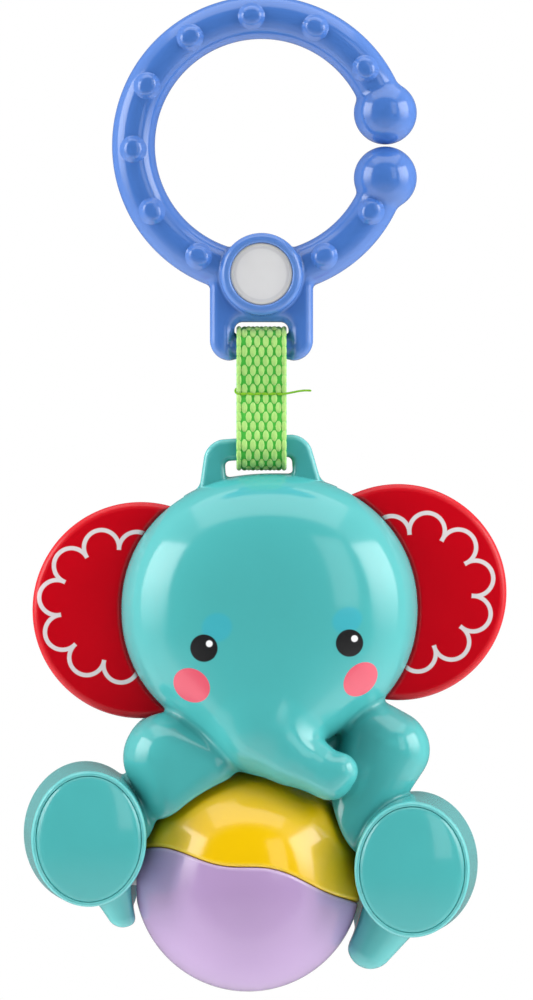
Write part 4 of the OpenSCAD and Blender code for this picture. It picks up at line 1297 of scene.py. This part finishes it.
def pale_floor():
    """A round floor under the toy that fades out towards its rim."""
    reach = FLOOR_R / MM
    turn = np.linspace(0, 2 * math.pi, FLOOR_AROUND, endpoint=False)
    rim = [[reach * math.cos(t), reach * math.sin(t), FLOOR_Z / MM] for t in turn]
    floor = bpy.data.objects.new("floor", bare_mesh("floor", rim, (), [tuple(range(FLOOR_AROUND))]))
    f = Finish("pale_floor", Roughness=0.7, Specular_IOR_Level=0.2)
    r = (f.x * f.x + f.y * f.y) ** 0.5
    base = f.noise(120).mix(paint(240, 240, 240), paint(246, 246, 246))
    f.set(Base_Color=base, Alpha=1 - r.rise(*[reach * share for share in FLOOR_FADE]))
    floor.data.materials.append(f.material)
    floor.visible_glossy = False
    bpy.context.scene.collection.objects.link(floor)


camera_and_view()
white_room()
for name, lamp in LAMPS.items():
    softbox(name, *lamp)
pale_floor()

# All finishes
# Each plastic: its colour, the lighter colour of its worn edges that also carries their painted highlight,
# and its roughness
TEAL = paint(75, 174, 174), paint(136, 216, 216), 0.13
blue = plastic("ring_blue", paint(70, 116, 192), paint(120, 160, 220), 0.13)
teal = plastic("shell_teal", *TEAL)
teal_face = plastic("face_teal", *TEAL, face_print)
teal_sole = plastic("sole_teal", *TEAL, swell=sole_swell)
red = plastic("ear_red", paint(196, 0, 20), paint(232, 60, 70), 0.22, scallop_print, 0.42)
yellow = plastic("ball_yellow", paint(229, 185, 0), paint(246, 218, 84), 0.12)
lilac = plastic("ball_lilac", paint(173, 145, 189), paint(214, 195, 224), 0.13)
bead_orange = plastic("bead_orange", paint(232, 130, 50), paint(245, 170, 110), 0.3)
lime = yarn("webbing_lime", paint(56, 184, 58), paint(82, 198, 70), 0.75, 0.35)
pale_lime = yarn("weave_lime", paint(150, 204, 104), paint(182, 220, 130), 0.7, 0.25)
thread = yarn("thread_lime", paint(100, 170, 8), paint(142, 200, 30), 0.65, 0.2)
bright_steel = steel()

# All pieces
moulded("ring_body", ring_form, RING_BOX, FINE_STEP, FINE_KEPT, blue, "ring", ["clip_ring"])
placed("ring_bumps", teething_bumps(blue), "ring")
disc_r, disc_front = DISC_R + SEAT_FIT - SNUG_FIT, DISC_SUNK - HUB_HALF
disc = cap(disc_r, disc_front, disc_front + DISC_T - SNUG_FIT, DISC_FALL)
points, faces = oval_lathe(disc, (0, 0, HUB_Z), disc_r, disc_r)
piece("hub_face", points, faces, disc_white(), "ring", ["hub_disc"])

webbing, run = tape(lime)
line, _, _ = webbing_path(TAPE_T / 2 - WEAVE_SUNK)
path = np.insert(line, 0, 0.0, 1)
weave = placed("webbing_weave", webbing_weave(path, pale_lime), "strap_loop")
stitches = placed("seam_stitches", seam_stitches(thread), "strap_loop", ["strap_stitch"])
ends = thread_ends(thread)
run * MM

moulded("face_shell", front_form, FACE_BOX, SHELL_STEP, SHELL_KEPT, teal_face,
        "elephant", ["front_shell"])
moulded("back_shell", rear_form, BACK_BOX, SHELL_STEP, SHELL_KEPT, teal,
        "elephant", ["rear_shell"])
moulded("ears", ears_form, EARS_BOX, SHELL_STEP, FINE_KEPT, red, "ears", ["ear_yoke"])
placed("cross_screws", cross_screws(bright_steel), "elephant", ["shell_screws"])
sole_rx, sole_rz = sole_radii(SEAT_FIT - SNUG_FIT)
pad = cap(sole_rx, SOLE_SUNK - FOOT_FRONT, SOLE_T - SNUG_FIT - FOOT_FRONT, SOLE_FALL)
for side, label in zip(SIDES, ("left_sole", "right_sole")):
    centre = FOOT[side] - [side * FOOT_SHIFT, 0, 0]
    points, faces = oval_lathe(pad, centre, sole_rx, sole_rz)
    piece(label + "_pad", points, faces, teal_sole, "elephant", [label])

moulded("ball_top", lambda p: ball_half(p, 1), BALL_BOX, FINE_STEP, FINE_KEPT, yellow,
        "ball", ["ball_upper"])
moulded("ball_base", lambda p: ball_half(p, -1), BALL_BOX, FINE_STEP, FINE_KEPT, lilac,
        "ball", ["ball_lower"])

inside = {"ear_pivot_pin": bright_steel, "ball_axle": bright_steel, "rattle_beads": bead_orange}
for name, finish in inside.items():
    node = frame["nodes"][name]
    node.data.materials.clear()
    node.data.materials.append(finish)
